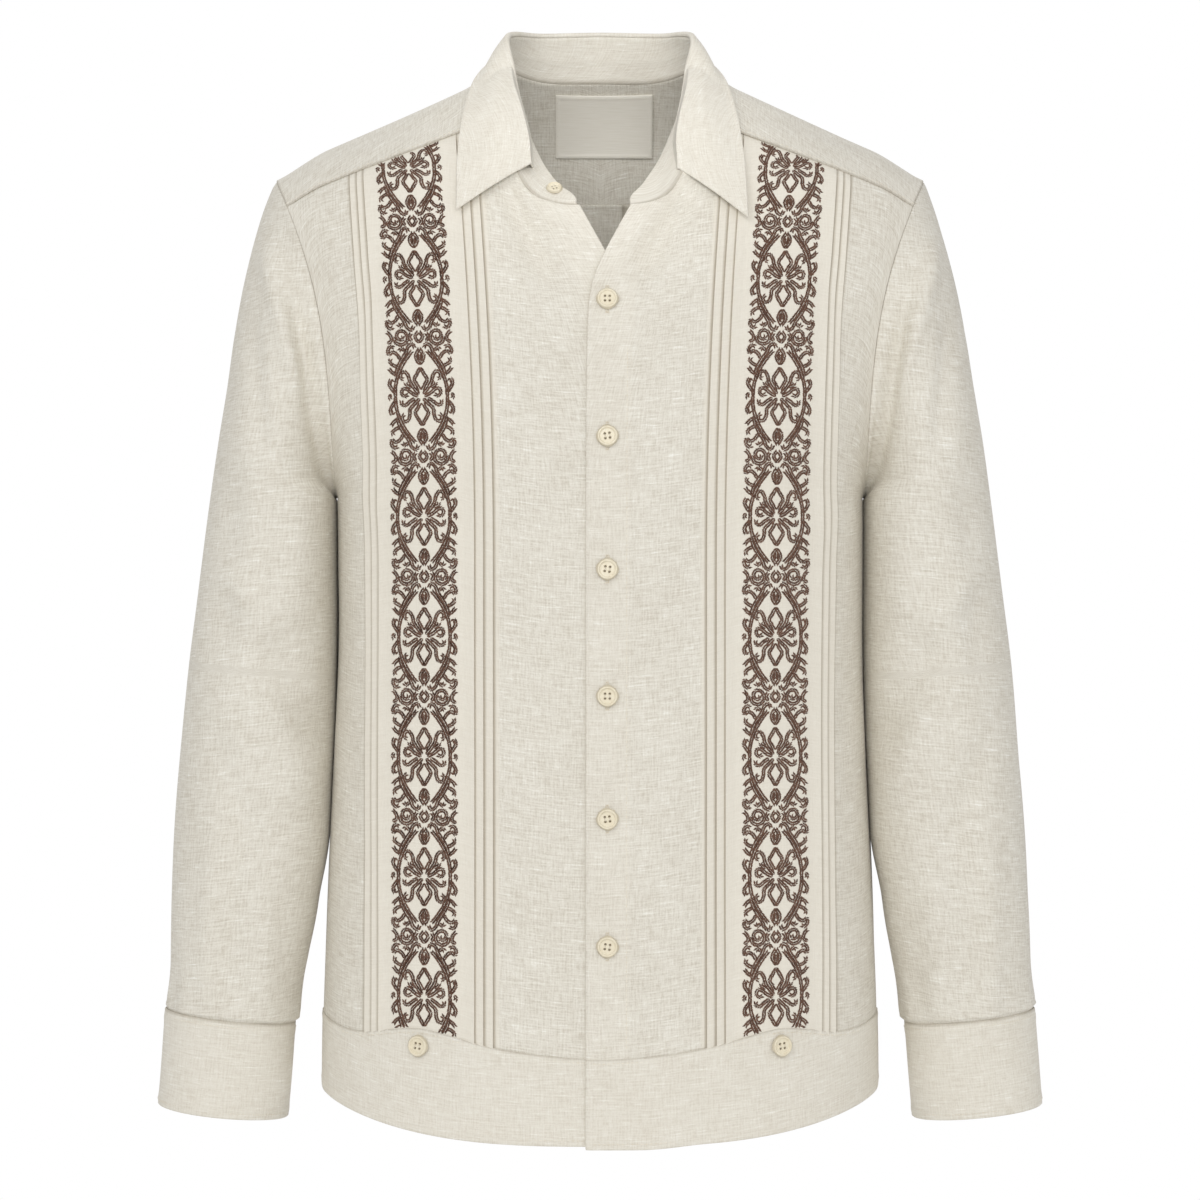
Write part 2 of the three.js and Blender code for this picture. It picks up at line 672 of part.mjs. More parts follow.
// Leaf: v 0 to 1 climbs over the fold, 1 to 2 falls to the outer edge.
function leafPoint(u, v) {
  const s = Math.abs(u);
  const side = Math.sign(u || 1);
  const n = radians(leafEnd) * s * side || 1e-6;
  const roll0 = rollPoint(n);
  const way = roll0.clone().sub(neckPoint(n)).normalize();
  const along = rollPoint(n + 0.01).sub(rollPoint(n - 0.01)).normalize();
  const out = way.clone().cross(along).normalize();
  way.copy(along).cross(out).normalize();
  const round = Math.min(v, 1) * Math.PI;
  const fold = roll0.addScaledVector(way, leafSeat + foldUp * Math.sin(round))
    .addScaledVector(out, (foldOut / 2) * (1 - Math.cos(round)));
  if (v <= 1) {
    return fold;
  }
  const edgeAt = (a, b) => shoulderPoint(a * side, b);
  const x = read(leafRows, "at", "x", s);
  const q = read(leafRows, "at", "q", s);
  const edge = edgeAt(x, q).addScaledVector(normalOf(edgeAt, x, q, 0.01), leafLift * side);
  const t = v - 1;
  const point = fold.lerp(edge, t).addScaledVector(out, leafBulge * Math.sin(Math.PI * Math.min(1, t * 1.5)));
  return liftOffBody(point, leafLift * ease(t / 0.3));
}
const leafSide = [0, 0.1, 0.2, 0.3, 0.38, 0.46, 0.53, 0.6, 0.67, 0.74, 0.81, 0.87, 0.94, 1];
add("collar_leaf", clothWall({
  at: leafPoint,
  us: leafSide.slice(1).reverse().map((u) => -u).concat(leafSide),
  vs: [0, 0.5, 1, 1.1, 1.22, 1.38, 1.58, 1.8, 2],
  thick: leafThick,
}));

// ---- neck label, inside the yoke at the centre back ----
const backAt = (x, z) => new THREE.Vector3(x, bodyY(x, z, true), z);
const labelPoint = (u, v) => {
  const x = label.x + u * label.halfWidth;
  const z = mix(label.top, label.bottom, v);
  return backAt(x, z).addScaledVector(normalOf(backAt, x, z, 0.01), (cloth + label.thick) / 2 + label.gap);
};
add("neck_label", clothWall({
  at: labelPoint,
  us: [-1, -0.75, -0.5, -0.25, 0, 0.25, 0.5, 0.75, 1],
  vs: [0, 0.33, 0.67, 1],
  thick: label.thick,
}), "label");

// ---- buttons ----
const wasm = await Module();
wasm.setup();
// A closed geometry as a manifold solid.
function solid(geometry) {
  const bare = new THREE.BufferGeometry().setAttribute("position", geometry.getAttribute("position"));
  bare.setIndex(geometry.index);
  const merged = mergeVertices(bare, 1e-4);
  return new wasm.Manifold(new wasm.Mesh({
    numProp: 3,
    vertProperties: new Float32Array(merged.attributes.position.array),
    triVerts: new Uint32Array(merged.index.array),
  }));
}
// A round button facing +Z: a dish with a raised rim and four holes. Its back lies at 0.
function buttonGeometry({ radius, thick, rim, hole, apart }) {
  const floor = thick * 0.62;
  const profile = [[0, 0], [radius * 0.86, 0], [radius, thick * 0.35], [radius, thick * 0.7],
    [radius - rim * 0.35, thick], [radius - rim, thick], [radius - rim * 1.3, floor], [0, floor]];
  const dish = new THREE.LatheGeometry(profile.map(([r, z]) => new THREE.Vector2(r, z)), buttonSides);
  dish.rotateX(Math.PI / 2);
  let body = solid(dish);
  if (body.volume() < 0) {
    throw new Error("the button's profile runs backwards");
  }
  for (const [x, y] of [[1, 1], [1, -1], [-1, 1], [-1, -1]]) {
    const drill = wasm.Manifold.cylinder(3 * thick, hole, hole, 6, true);
    body = body.subtract(drill.translate([(x * apart) / 2, (y * apart) / 2, 0]));
  }
  const mesh = body.getMesh();
  const geometry = new THREE.BufferGeometry();
  geometry.setAttribute("position", new THREE.Float32BufferAttribute(mesh.vertProperties, 3));
  geometry.setIndex(Array.from(mesh.triVerts));
  geometry.computeVertexNormals();
  return geometry;
}
// Seats a button on the outer face of the cloth whose middle is at(u, v).
function addButton(name, size, at, u, v, thick, outwards) {
  const out = normalOf(at, u, v, 0.01).multiplyScalar(outwards);
  const button = add(name, buttonGeometry(size), "button");
  button.position.copy(at(u, v)).addScaledVector(out, thick / 2 + seamGap);
  const right = new THREE.Vector3(0, 0, 1).cross(out).normalize();
  const up = out.clone().cross(right);
  button.quaternion.setFromRotationMatrix(new THREE.Matrix4().makeBasis(right, up, out));
}
const overFront = (x, z) => new THREE.Vector3(x, -bodyY(x, z, false) - (x > overEdge ? lapOver(x) : 0), z);
placketButtons.forEach((z, i) => addButton(`button_front_${i + 1}`, frontButton, overFront, buttonX, z, cloth, 1));
addButton("button_stand", standButton, standPoint, -radians(152), 0.52, standThick, 1);
for (const side of [-1, 1]) {
  const hand = side < 0 ? "right" : "left";
  addButton(`button_hem_${hand}`, frontButton, overFront, side * hemButton.x, hemButton.z, cloth, 1);
  addButton(`button_cuff_${hand}`, standButton, (u, v) => cuffPoint(side, u, v),
    2 * Math.PI + radians(cuffLap * 0.45), 1, cloth, -side);
}

export default group;
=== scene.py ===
# A long-sleeved guayabera shirt, filled out as if worn: slub linen, tucks and two embroidered bands.
# Sizes are in millimetres until a mesh is made; the front faces -Y and left is the wearer's left.
import math
import bpy
import numpy as np
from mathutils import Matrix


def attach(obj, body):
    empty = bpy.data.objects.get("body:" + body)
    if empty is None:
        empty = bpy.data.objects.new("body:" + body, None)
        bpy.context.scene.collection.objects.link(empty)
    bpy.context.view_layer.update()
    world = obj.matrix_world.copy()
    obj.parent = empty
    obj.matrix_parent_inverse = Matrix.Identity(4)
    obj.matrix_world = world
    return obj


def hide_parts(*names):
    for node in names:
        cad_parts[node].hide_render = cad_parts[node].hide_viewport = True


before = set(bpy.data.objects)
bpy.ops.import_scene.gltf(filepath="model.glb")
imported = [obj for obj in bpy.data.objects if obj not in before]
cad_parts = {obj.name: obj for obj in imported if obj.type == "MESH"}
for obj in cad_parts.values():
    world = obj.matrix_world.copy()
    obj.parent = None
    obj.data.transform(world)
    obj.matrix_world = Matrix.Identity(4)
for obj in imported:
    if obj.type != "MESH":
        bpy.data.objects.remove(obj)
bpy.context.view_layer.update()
print("frame loaded")

body = {
    "ringPower": 2.4,  # superellipse power of the rings round the body
    "ridge": 56, "slope": 0.4516,  # height of the shoulder line at the centre and its fall
    "neckRise": 8, "neckFrom": 60, "neckOver": 36,  # it turns up beside the neck
    "tipDrop": 5.5, "tipFrom": 188, "tipOver": 40,  # and down at the tip
    "blunt": 30,  # half width of the rounded centre
    "roll": 80,  # radius of the shoulders from front to back
    "tipX": 225, "underarmX": 182.5, "underarmZ": -272, "hemSpread": 10.5,
    "armholeDepth": 62, "armholeWidestZ": -165, "armholePower": 2.9,
    "neckY": -18, "neckHalfWidth": 74, "neckFront": 72, "neckBack": 66,
    "neckPowerFront": 4, "neckPowerBack": 2.3,
    "hemZ": -704, "hemSideRise": 24, "sideX": 190,
    "thick": 0.9,  # one layer of linen
}
# half depth of the body, front and back, at heights z
depthRows = {
    "z": [60, 30, 0, -40, -78, -110, -150, -200, -260, -330, -420, -520, -620, -705],
    "front": [54, 61, 69, 80, 90, 99, 109, 117, 121, 120.5, 118, 117, 119, 122],
    "back": [52, 59, 70, 82, 92, 99, 106, 110, 110, 107, 104, 102.5, 104, 107],
}


def ease(t):
    # 3t^2 - 2t^3 between 0 and 1
    c = np.clip(t, 0, 1)
    return c * c * (3 - 2 * c)


def mix(a, b, t):
    return a + (b - a) * t


def readTable(table, key, name, at):
    # smooth cubic through the rows: Hermite pieces whose slopes join each row's neighbours
    x = np.array(table[key], float)
    y = np.array(table[name], float)
    if x[0] > x[-1]:
        x = x[::-1]
        y = y[::-1]
    last = len(x) - 1
    k = np.arange(last + 1)
    low = np.maximum(k - 1, 0)
    high = np.minimum(k + 1, last)
    slope = (y[high] - y[low]) / (x[high] - x[low])
    t = np.clip(at, x[0], x[-1])
    i = np.clip(np.searchsorted(x, t, side="left") - 1, 0, last - 1)
    step = x[i + 1] - x[i]
    s = (t - x[i]) / step
    return ((2 * s**3 - 3 * s**2 + 1) * y[i] + (s**3 - 2 * s**2 + s) * step * slope[i]
            + (3 * s**2 - 2 * s**3) * y[i + 1] + (s**3 - s**2) * step * slope[i + 1])


def ridgeZ(x):
    # shoulder line: falls straight to the tip and turns up beside the neck
    far = np.abs(x)
    near = 1 - ease((far - body["neckFrom"]) / body["neckOver"])
    drop = ease((far - body["tipFrom"]) / body["tipOver"])
    # rounded over the centre: a parabola that meets |x| at the blunt width
    blunt = body["blunt"]
    soft = np.where(far < blunt, x * x / (2 * blunt) + blunt / 2, far)
    return body["ridge"] - body["slope"] * soft + body["neckRise"] * near - body["tipDrop"] * drop


tipZ = float(ridgeZ(np.array(float(body["tipX"]))))


def halfDepth(z, back):
    return np.where(back, readTable(depthRows, "z", "back", z), readTable(depthRows, "z", "front", z))


def armholeX(z):
    # underarmX + (tipX - underarmX) t^2.9, t from the underarm to the shoulder tip
    t = np.clip((z - body["underarmZ"]) / (tipZ - body["underarmZ"]), 0, 1)
    return body["underarmX"] + (body["tipX"] - body["underarmX"]) * t**body["armholePower"]


def armholeY(z):
    # half ellipse below the widest height, drawn in towards the shoulder
    t = np.clip((body["armholeWidestZ"] - z) / (body["armholeWidestZ"] - body["underarmZ"]), 0, 1)
    return body["armholeDepth"] * np.sqrt(1 - t * t) * (1 - 0.35 * ease((z + 60) / 100))


def halfWidth(z, back):
    # the side seam's x below the underarm; above it, the ring that passes through the armhole
    power = body["ringPower"]
    side = body["underarmX"] + body["hemSpread"] * ease((-340 - z) / 340)
    share = np.clip(armholeY(z) / halfDepth(z, back), 0, 0.98)**power
    return np.where(z <= body["underarmZ"], side, armholeX(z) / (1 - share)**(1 / power))


def rollOver(x, z):
    # quarter circle from the shoulder line down to the full depth
    t = np.clip((ridgeZ(x) - z) / body["roll"], 0, 1)
    return np.sqrt(1 - (1 - t)**2)


def bodyY(x, z, back):
    # halfDepth (1 - |x / halfWidth|^p)^(1/p) times the roll over the shoulder
    power = body["ringPower"]
    s = np.clip(np.abs(x) / halfWidth(z, back), 0, 1)
    return halfDepth(z, back) * (1 - s**power)**(1 / power) * rollOver(x, z)


def ringPoint(a, z):
    # superellipse ring at height z: angle a from the centre front towards +X
    back = np.cos(a) < 0
    x = np.sign(np.sin(a)) * halfWidth(z, back) * np.abs(np.sin(a))**(2 / body["ringPower"])
    y = halfDepth(z, back) * np.abs(np.cos(a))**(2 / body["ringPower"]) * rollOver(x, z)
    return np.stack([x, np.where(back, y, -y), z + 0 * x], -1)


def ringAngle(x, z, back):
    a = np.arcsin(np.clip(np.abs(x) / halfWidth(z, back), 0, 1)**(body["ringPower"] / 2))
    return np.sign(x) * np.where(back, math.pi - a, a)


def fallAt(q):
    # height lost q millimetres down the cloth from the shoulder line: a quarter circle, then straight
    quarter = body["roll"] * math.pi / 2
    far = np.abs(q) - quarter
    curved = body["roll"] * (1 - np.cos(np.minimum(np.abs(q), quarter) / body["roll"]))
    return np.where(far > 0, body["roll"] + far, curved)


def qAt(x, z):
    # the other way round: how far down the cloth a height lies
    fall = ridgeZ(x) - z
    near = body["roll"] * np.arccos(np.clip(1 - fall / body["roll"], -1, 1))
    return np.where(fall > body["roll"], body["roll"] * math.pi / 2 + fall - body["roll"], near)


def shoulderPoint(x, q):
    # x across and q down the cloth: to the back above 0, to the front below 0
    x = x + 0 * q
    z = ridgeZ(x) - fallAt(q)
    y = bodyY(x, z, q > 0)
    return np.stack([x, np.where(q > 0, y, -y), z], -1)


def heightOver(x, y):
    # halving steps between -150 and the shoulder line, to where the body's surface stands over (x, y)
    low = np.full(np.shape(x), -150.0)
    high = ridgeZ(x) + 0.0
    for _ in range(36):
        z = (low + high) / 2
        inside = bodyY(x, z, y > 0) > np.abs(y)
        low = np.where(inside, z, low)
        high = np.where(inside, high, z)
    return low


def neckPoint(n):
    # squarish loop in plan, n from the centre back, laid on the body
    back = np.cos(n) > 0
    power = np.where(back, body["neckPowerBack"], body["neckPowerFront"])
    sx = np.abs(np.sin(n)) / body["neckHalfWidth"]
    sy = np.abs(np.cos(n)) / np.where(back, body["neckBack"], body["neckFront"])
    r = 1 / (sx**power + sy**power)**(1 / power)
    x = r * np.sin(n)
    y = body["neckY"] + r * np.cos(n)
    return np.stack([x, y, heightOver(x, y)], -1)


yokeSeams = {
    "neckX": 71, "neckQ": 84, "armX": 216, "armQ": 70.4,  # front seam: how far down the cloth it lies
    "backZ": -57, "backDrop": 45, "backX": 200,  # back seam: its height, and how much lower it is at backX
}


def frontSeamQ(x):
    # the yoke's front seam, straight from the neck to the armhole
    share = (np.abs(x) - yokeSeams["neckX"]) / (yokeSeams["armX"] - yokeSeams["neckX"])
    return -mix(yokeSeams["neckQ"], yokeSeams["armQ"], np.clip(share, -0.2, 1.1))


def backSeamZ(x):
    # the yoke's back seam: backZ - backDrop (x / backX)^2
    return yokeSeams["backZ"] - yokeSeams["backDrop"] * (x / yokeSeams["backX"])**2


def findCorner():
    # angle of the neckline where the yoke's front seam meets it
    low = math.radians(100)
    high = math.radians(160)
    for _ in range(30):
        n = (low + high) / 2
        p = neckPoint(np.array(n))
        if -qAt(p[0], p[2]) > frontSeamQ(p[0]):
            low = n
        else:
            high = n
    return low


cornerAngle = findCorner()
cornerPoint = neckPoint(np.array(cornerAngle))
cornerX = cornerPoint[0]


def frontTopZ(x):
    # top of a front: the neckline inside the corner, the yoke seam outside it
    share = np.clip(np.abs(x) / body["neckHalfWidth"], 0, 0.999)**body["neckPowerFront"]
    y = body["neckY"] - body["neckFront"] * (1 - share)**(1 / body["neckPowerFront"])
    seam = ridgeZ(x) - fallAt(frontSeamQ(x))
    return np.where(np.abs(x) < cornerX, heightOver(x, y), seam)


def armholeAt(q):
    # x of the armhole where it lies q down the cloth
    x = np.full(np.shape(q), float(body["tipX"]))
    for _ in range(30):
        x = armholeX(ridgeZ(x) - fallAt(q))
    return x


def softFolds(rows, a, b):
    # sum of ridges and troughs: height e^-(d/width)^2 across a line, fading to nothing at its ends
    total = np.zeros(np.broadcast(a, b).shape)
    for row in rows:
        da = row["a1"] - row["a0"]
        db = row["b1"] - row["b0"]
        length = math.hypot(da, db)
        along = ((a - row["a0"]) * da + (b - row["b0"]) * db) / length**2
        bend = row.get("bow", 0) * np.sin(np.clip(along, 0, 1) * math.pi)
        across = ((a - row["a0"]) * db - (b - row["b0"]) * da) / length - bend
        fade = ease(along / 0.35 + 0.3) * ease((1 - along) / 0.35 + 0.3)
        total += row["height"] * np.exp(-(across / row["width"])**2) * fade
    return total


def ripple(a, b, shift, size=0.35):
    # slow uneven waves: three sines that never line up
    cross = np.sin(a / 23 + shift) * np.sin(b / 41 + 2 * shift)
    slant = 0.7 * np.sin((a + b) / 57 + 3 * shift)
    other = 0.5 * np.sin((a - 0.6 * b) / 34 + 5 * shift)
    return size * (cross + slant + other)


def handOf(side):
    # the wearer's hand on that side of the centre plane
    return "Left" if side > 0 else "Right"


# meshes

def meshFrom(name, points, quads, uv, marks=None):
    # points in millimetres, faces of four corners, one uv in metres and any marks at each point
    mesh = bpy.data.meshes.new(name)
    mesh.vertices.add(len(points))
    mesh.vertices.foreach_set("co", (points * 0.001).astype(np.float32).ravel())
    corners = quads.astype(np.int32).ravel()
    mesh.loops.add(len(corners))
    mesh.loops.foreach_set("vertex_index", corners)
    mesh.polygons.add(len(quads))
    mesh.polygons.foreach_set("loop_start", np.arange(0, len(corners), 4, dtype=np.int32))
    mesh.update(calc_edges=True)
    layer = mesh.uv_layers.new(name="cloth")
    layer.data.foreach_set("uv", uv[corners].astype(np.float32).ravel())
    for label, values in (marks or {}).items():
        attribute = mesh.attributes.new(label, "FLOAT", "POINT")
        attribute.data.foreach_set("value", values.astype(np.float32).ravel())
    mesh.validate()
    mesh.polygons.foreach_set("use_smooth", np.ones(len(mesh.polygons), bool))
    mesh.set_sharp_from_angle(angle=math.radians(50))
    piece = bpy.data.objects.new(name, mesh)
    bpy.context.scene.collection.objects.link(piece)
    return piece


def unit(v):
    return v / np.maximum(np.linalg.norm(v, axis=-1, keepdims=True), 1e-9)


def addShell(name, middle, uv, thick=body["thick"], lift=0.0, rise=0.0, closed=False, flip=False,
             marks=None):
    # walls at middle + normal (lift + thick/2 + rise) and middle + normal (lift - thick/2),
    # joined by an edge that is rounded outwards
    shape = middle.shape[:2]
    fields = [np.broadcast_to(f, shape) for f in (lift, rise)]
    marks = {k: np.broadcast_to(v, shape) for k, v in (marks or {}).items()}
    if flip:
        middle = middle[::-1]
        uv = uv[::-1]
        fields = [f[::-1] for f in fields]
        marks = {k: v[::-1] for k, v in marks.items()}
    lift, rise = (f[..., None] for f in fields)
    if closed:
        du = np.roll(middle, -1, 0) - np.roll(middle, 1, 0)
    else:
        du = np.gradient(middle, axis=0)
    dv = np.gradient(middle, axis=1)
    normal = unit(np.cross(du, dv))
    outer = middle + normal * (lift + thick / 2 + rise)
    inner = middle + normal * (lift - thick / 2)
    rows = shape[1]
    count = shape[0] * rows
    index = np.arange(count).reshape(shape)
    nextColumn = np.roll(index, -1, 0)
    here = index if closed else index[:-1]
    there = nextColumn if closed else nextColumn[:-1]
    quads = np.stack([here[:, :-1], there[:, :-1], there[:, 1:], here[:, 1:]], -1).reshape(-1, 4)
    if closed:
        loops = [(index[:, 0], -dv[:, 0]), (index[::-1, -1], dv[::-1, -1])]
    else:
        way = np.zeros(middle.shape)
        way[:, 0] -= unit(dv[:, 0])
        way[:, -1] += unit(dv[:, -1])
        way[0] -= unit(du[0])
        way[-1] += unit(du[-1])
        ring = np.concatenate([index[:, 0], index[-1, 1:], index[-2::-1, -1], index[0, -2:0:-1]])
        loops = [(ring, way.reshape(-1, 3)[ring])]
    flatOuter = outer.reshape(-1, 3)
    flatInner = inner.reshape(-1, 3)
    points = [flatOuter, flatInner]
    faces = [quads, quads[:, ::-1] + count]
    places = [uv.reshape(-1, 2)] * 2
    values = {k: [v.reshape(-1)] * 2 for k, v in marks.items()}
    start = 2 * count
    for ring, way in loops:
        half = np.linalg.norm(flatOuter[ring] - flatInner[ring], axis=1, keepdims=True) * 0.45
        points.append((flatOuter[ring] + flatInner[ring]) / 2 + unit(way) * half)
        places.append(uv.reshape(-1, 2)[ring])
        for k, v in marks.items():
            values[k].append(v.reshape(-1)[ring])
        edge = np.arange(len(ring)) + start
        following = np.roll(ring, -1)
        edgeNext = np.roll(edge, -1)
        faces.append(np.stack([following, ring, edge, edgeNext], -1))
        faces.append(np.stack([edgeNext, edge, ring + count, following + count], -1))
        start += len(ring)
    marks = {k: np.concatenate(v) for k, v in values.items()}
    return meshFrom(name, np.concatenate(points), np.concatenate(faces), np.concatenate(places), marks)


def arcUv(middle, column=0, row=0):
    # lengths along the cloth from one column and one row of the grid, in metres
    du = np.linalg.norm(np.diff(middle, axis=0), axis=2)
    dv = np.linalg.norm(np.diff(middle, axis=1), axis=2)
    u = np.concatenate([np.zeros((1, middle.shape[1])), np.cumsum(du, axis=0)])
    v = np.concatenate([np.zeros((middle.shape[0], 1)), np.cumsum(dv, axis=1)], axis=1)
    return np.stack([u - u[column], v - v[:, row:row + 1]], -1) * 0.001


def normalAt(surface, a, b, step=0.05):
    # cross product of the surface's small steps both ways
    du = surface(a + step, b) - surface(a - step, b)
    dv = surface(a, b + step) - surface(a, b - step)
    return unit(np.cross(du, dv))


def above(surface, a, b, height, side=1):
    # surface(a, b) moved by height along its normal
    return surface(a, b) + normalAt(surface, a, b) * (side * height)[..., None]


# stitches: each is a rice-grain spindle laid on a surface
# length, width and height of its two ends and of the four corners round its middle
grain = np.array([[-1, 0, 0], [0, 1, 0], [0, 0, 1], [0, -1, 0], [0, 0, -0.6], [1, 0, 0]])
grainQuads = np.array([[1, 0, 2, 5], [2, 0, 3, 5], [3, 0, 4, 5], [4, 0, 1, 5]])


def addStitches(name, surface, runs, side=1, seed=1):
    # every run: centres a, b, turn angle, half length, half width, height of its middle and bulge
    a, b, turn, length, width, height, bulge = (
        np.concatenate([np.broadcast_to(run[key], np.shape(run["a"])) for run in runs])
        for key in ("a", "b", "turn", "length", "width", "height", "bulge"))
    along = grain[:, 0][None] * length[:, None]
    across = grain[:, 1][None] * width[:, None]
    up = height[:, None] + grain[:, 2][None] * bulge[:, None]
    cosine = np.cos(turn)[:, None]
    sine = np.sin(turn)[:, None]
    points = above(surface, a[:, None] + along * cosine - across * sine,
                   b[:, None] + along * sine + across * cosine, up, side).reshape(-1, 3)
    quads = (grainQuads[None] + len(grain) * np.arange(len(a))[:, None, None]).reshape(-1, 4)
    if side < 0:
        quads = quads[:, ::-1]
    uv = np.stack([np.repeat(a, len(grain)), np.repeat(b, len(grain))], -1) * 0.001
    tint = np.random.default_rng(seed).random(len(a))
    return meshFrom(name, points, quads, uv, {"tint": np.repeat(tint, len(grain))})


def evenly(a, b, spacing):
    # points the same distance apart along a line given by its corners, and the line's direction there
    a = np.asarray(a, float)
    b = np.asarray(b, float)
    far = np.concatenate([[0], np.cumsum(np.hypot(np.diff(a), np.diff(b)))])
    at = np.arange(spacing / 2, far[-1], spacing)
    x = np.interp(at, far, a)
    y = np.interp(at, far, b)
    ahead = np.interp(at + 0.3, far, a), np.interp(at + 0.3, far, b)
    behind = np.interp(at - 0.3, far, a), np.interp(at - 0.3, far, b)
    return x, y, np.arctan2(ahead[1] - behind[1], ahead[0] - behind[0])


seam = {
    "spacing": 3.1, "length": 1.3, "width": 0.27, "bulge": 0.26,
    "yokeInset": 2.4, "hemInset": 2.0, "facingInset": 1.6, "labelInset": 1.2,
}


def seamRun(a, b, height):
    # a row of seam stitches along a line
    x, y, turn = evenly(a, b, seam["spacing"])
    return {"a": x, "b": y, "turn": turn, "length": seam["length"], "width": seam["width"],
            "height": height, "bulge": seam["bulge"]}


# materials

def linear(code):
    # sRGB hex to linear light
    values = [int(code[i:i + 2], 16) / 255 for i in (1, 3, 5)]
    return tuple(c / 12.92 if c <= 0.04045 else ((c + 0.055) / 1.055)**2.4 for c in values) + (1,)


def addNode(tree, kind, settings=None, inputs=None):
    # one node with its settings; an input is a value, or (node, output) to link from
    node = tree.nodes.new(kind)
    for key, value in (settings or {}).items():
        setattr(node, key, value)
    for key, value in (inputs or {}).items():
        if isinstance(value, tuple) and isinstance(value[0], bpy.types.Node):
            tree.links.new(value[0].outputs[value[1]], node.inputs[key])
        else:
            node.inputs[key].default_value = value
    return node


def newMaterial(name):
    material = bpy.data.materials.new(name)
    material.use_nodes = True
    material.node_tree.nodes.clear()
    return material, material.node_tree


def setRamp(node, stops):
    ramp = node.color_ramp
    while len(ramp.elements) < len(stops):
        ramp.elements.new(0.5)
    for element, (place, code) in zip(ramp.elements, stops):
        element.position = place
        element.color = linear(code)


linenLook = {
    "dark": "#cdc6b8", "mid": "#ddd8cc", "light": "#e5e1d6", "bright": "#f3f1ea",
    "strip": "#e7e1d4",  # plainer cream cloth between the tucks
    "weft": (64, 860),  # slubs per metre along and across a thread: about 17 mm long and 1.2 mm wide
    "warp": (880, 90),
    "slub": (62, 760),  # the thicker, rarer ones
    "shade": "#8f8068",  # painted shade: what a crease or a seam multiplies the cloth by
    "roughness": 0.88, "sheen": 0.12, "bump": 0.3,
}


def makeLinen(name, look, calm=0.0):
    # plain-woven slub linen, washed: uneven threads both ways, matt, with a little bloom
    material, tree = newMaterial(name)
    place = addNode(tree, "ShaderNodeUVMap", {"uv_map": "cloth"})
    stretched = []
    for scale, shift in ((look["weft"], 0.0), (look["warp"], 3.7)):
        mapping = addNode(tree, "ShaderNodeMapping", inputs={
            "Vector": (place, 0), "Location": (shift, shift, 0), "Scale": (*scale, 1)})
        stretched.append(addNode(tree, "ShaderNodeTexNoise", {"noise_dimensions": "2D"},
                                 {"Vector": (mapping, 0), "Scale": 1.0, "Detail": 2.0, "Roughness": 0.6}))
    weft, warp = stretched
    # long single slubs, thicker and rarer
    slubMap = addNode(tree, "ShaderNodeMapping", inputs={
        "Vector": (place, 0), "Location": (9.1, 2.3, 0), "Scale": (*look["slub"], 1)})
    slub = addNode(tree, "ShaderNodeTexNoise", {"noise_dimensions": "2D"},
                   {"Vector": (slubMap, 0), "Scale": 1.0, "Detail": 1.0, "Roughness": 0.5})
    slubMask = addNode(tree, "ShaderNodeMapRange",
                       inputs={"Value": (slub, 0), "From Min": 0.62, "From Max": 0.76})
    broad = addNode(tree, "ShaderNodeTexNoise", {"noise_dimensions": "2D"},
                    {"Vector": (place, 0), "Scale": 24.0, "Detail": 3.0, "Roughness": 0.6})
    grainNoise = addNode(tree, "ShaderNodeTexNoise", {"noise_dimensions": "2D"},
                         {"Vector": (place, 0), "Scale": 760.0, "Detail": 1.0})
    threads = addNode(tree, "ShaderNodeMath", {"operation": "MULTIPLY_ADD"},
                      {0: (warp, 0), 1: 0.6, 2: 0.0})
    both = addNode(tree, "ShaderNodeMath", {"operation": "MULTIPLY_ADD"},
                   {0: (weft, 0), 1: 0.65, 2: (threads, 0)})
    grained = addNode(tree, "ShaderNodeMath", {"operation": "MULTIPLY_ADD"},
                      {0: (grainNoise, 0), 1: 0.3, 2: (both, 0)})
    toned = addNode(tree, "ShaderNodeMath", {"operation": "MULTIPLY_ADD"},
                    {0: (broad, 0), 1: 0.2, 2: (grained, 0)})
    slubbed = addNode(tree, "ShaderNodeMath", {"operation": "MULTIPLY_ADD"},
                      {0: (slubMask, 0), 1: 0.2, 2: (toned, 0)})
    scaled = addNode(tree, "ShaderNodeMapRange",
                     inputs={"Value": (slubbed, 0), "From Min": 0.56, "From Max": 1.32})
    ramp = addNode(tree, "ShaderNodeValToRGB", inputs={"Fac": (scaled, 0)})
    setRamp(ramp, [(0.1, look["dark"]), (0.42, look["mid"]), (0.66, look["light"]), (0.95, look["bright"])])
    # the strip mark is where the cloth lies between the tucks, and the second mark paints shade into the
    # colour where the cloth lies in shade
    strip = addNode(tree, "ShaderNodeAttribute", {"attribute_name": "strip"})
    plain = addNode(tree, "ShaderNodeMath", {"operation": "MULTIPLY_ADD", "use_clamp": True},
                    {0: (strip, 2), 1: 0.72, 2: calm})
    calmer = addNode(tree, "ShaderNodeMix", {"data_type": "RGBA"},
                     {0: (plain, 0), 6: (ramp, 0), 7: linear(look["strip"])})
    crease = addNode(tree, "ShaderNodeAttribute", {"attribute_name": "crease"})
    shaded = addNode(tree, "ShaderNodeMix", {"data_type": "RGBA", "blend_type": "MULTIPLY"},
                     {0: (crease, 2), 6: (calmer, 2), 7: linear(look["shade"])})
    bump = addNode(tree, "ShaderNodeBump", inputs={"Height": (slubbed, 0), "Strength": look["bump"],
                                                   "Distance": 0.0006})
    shader = addNode(tree, "ShaderNodeBsdfPrincipled", inputs={
        "Base Color": (shaded, 2), "Roughness": look["roughness"], "Normal": (bump, 0),
        "Sheen Weight": look["sheen"], "Sheen Roughness": 0.5, "Specular IOR Level": 0.25})
    addNode(tree, "ShaderNodeOutputMaterial", inputs={"Surface": (shader, 0)})
    return material


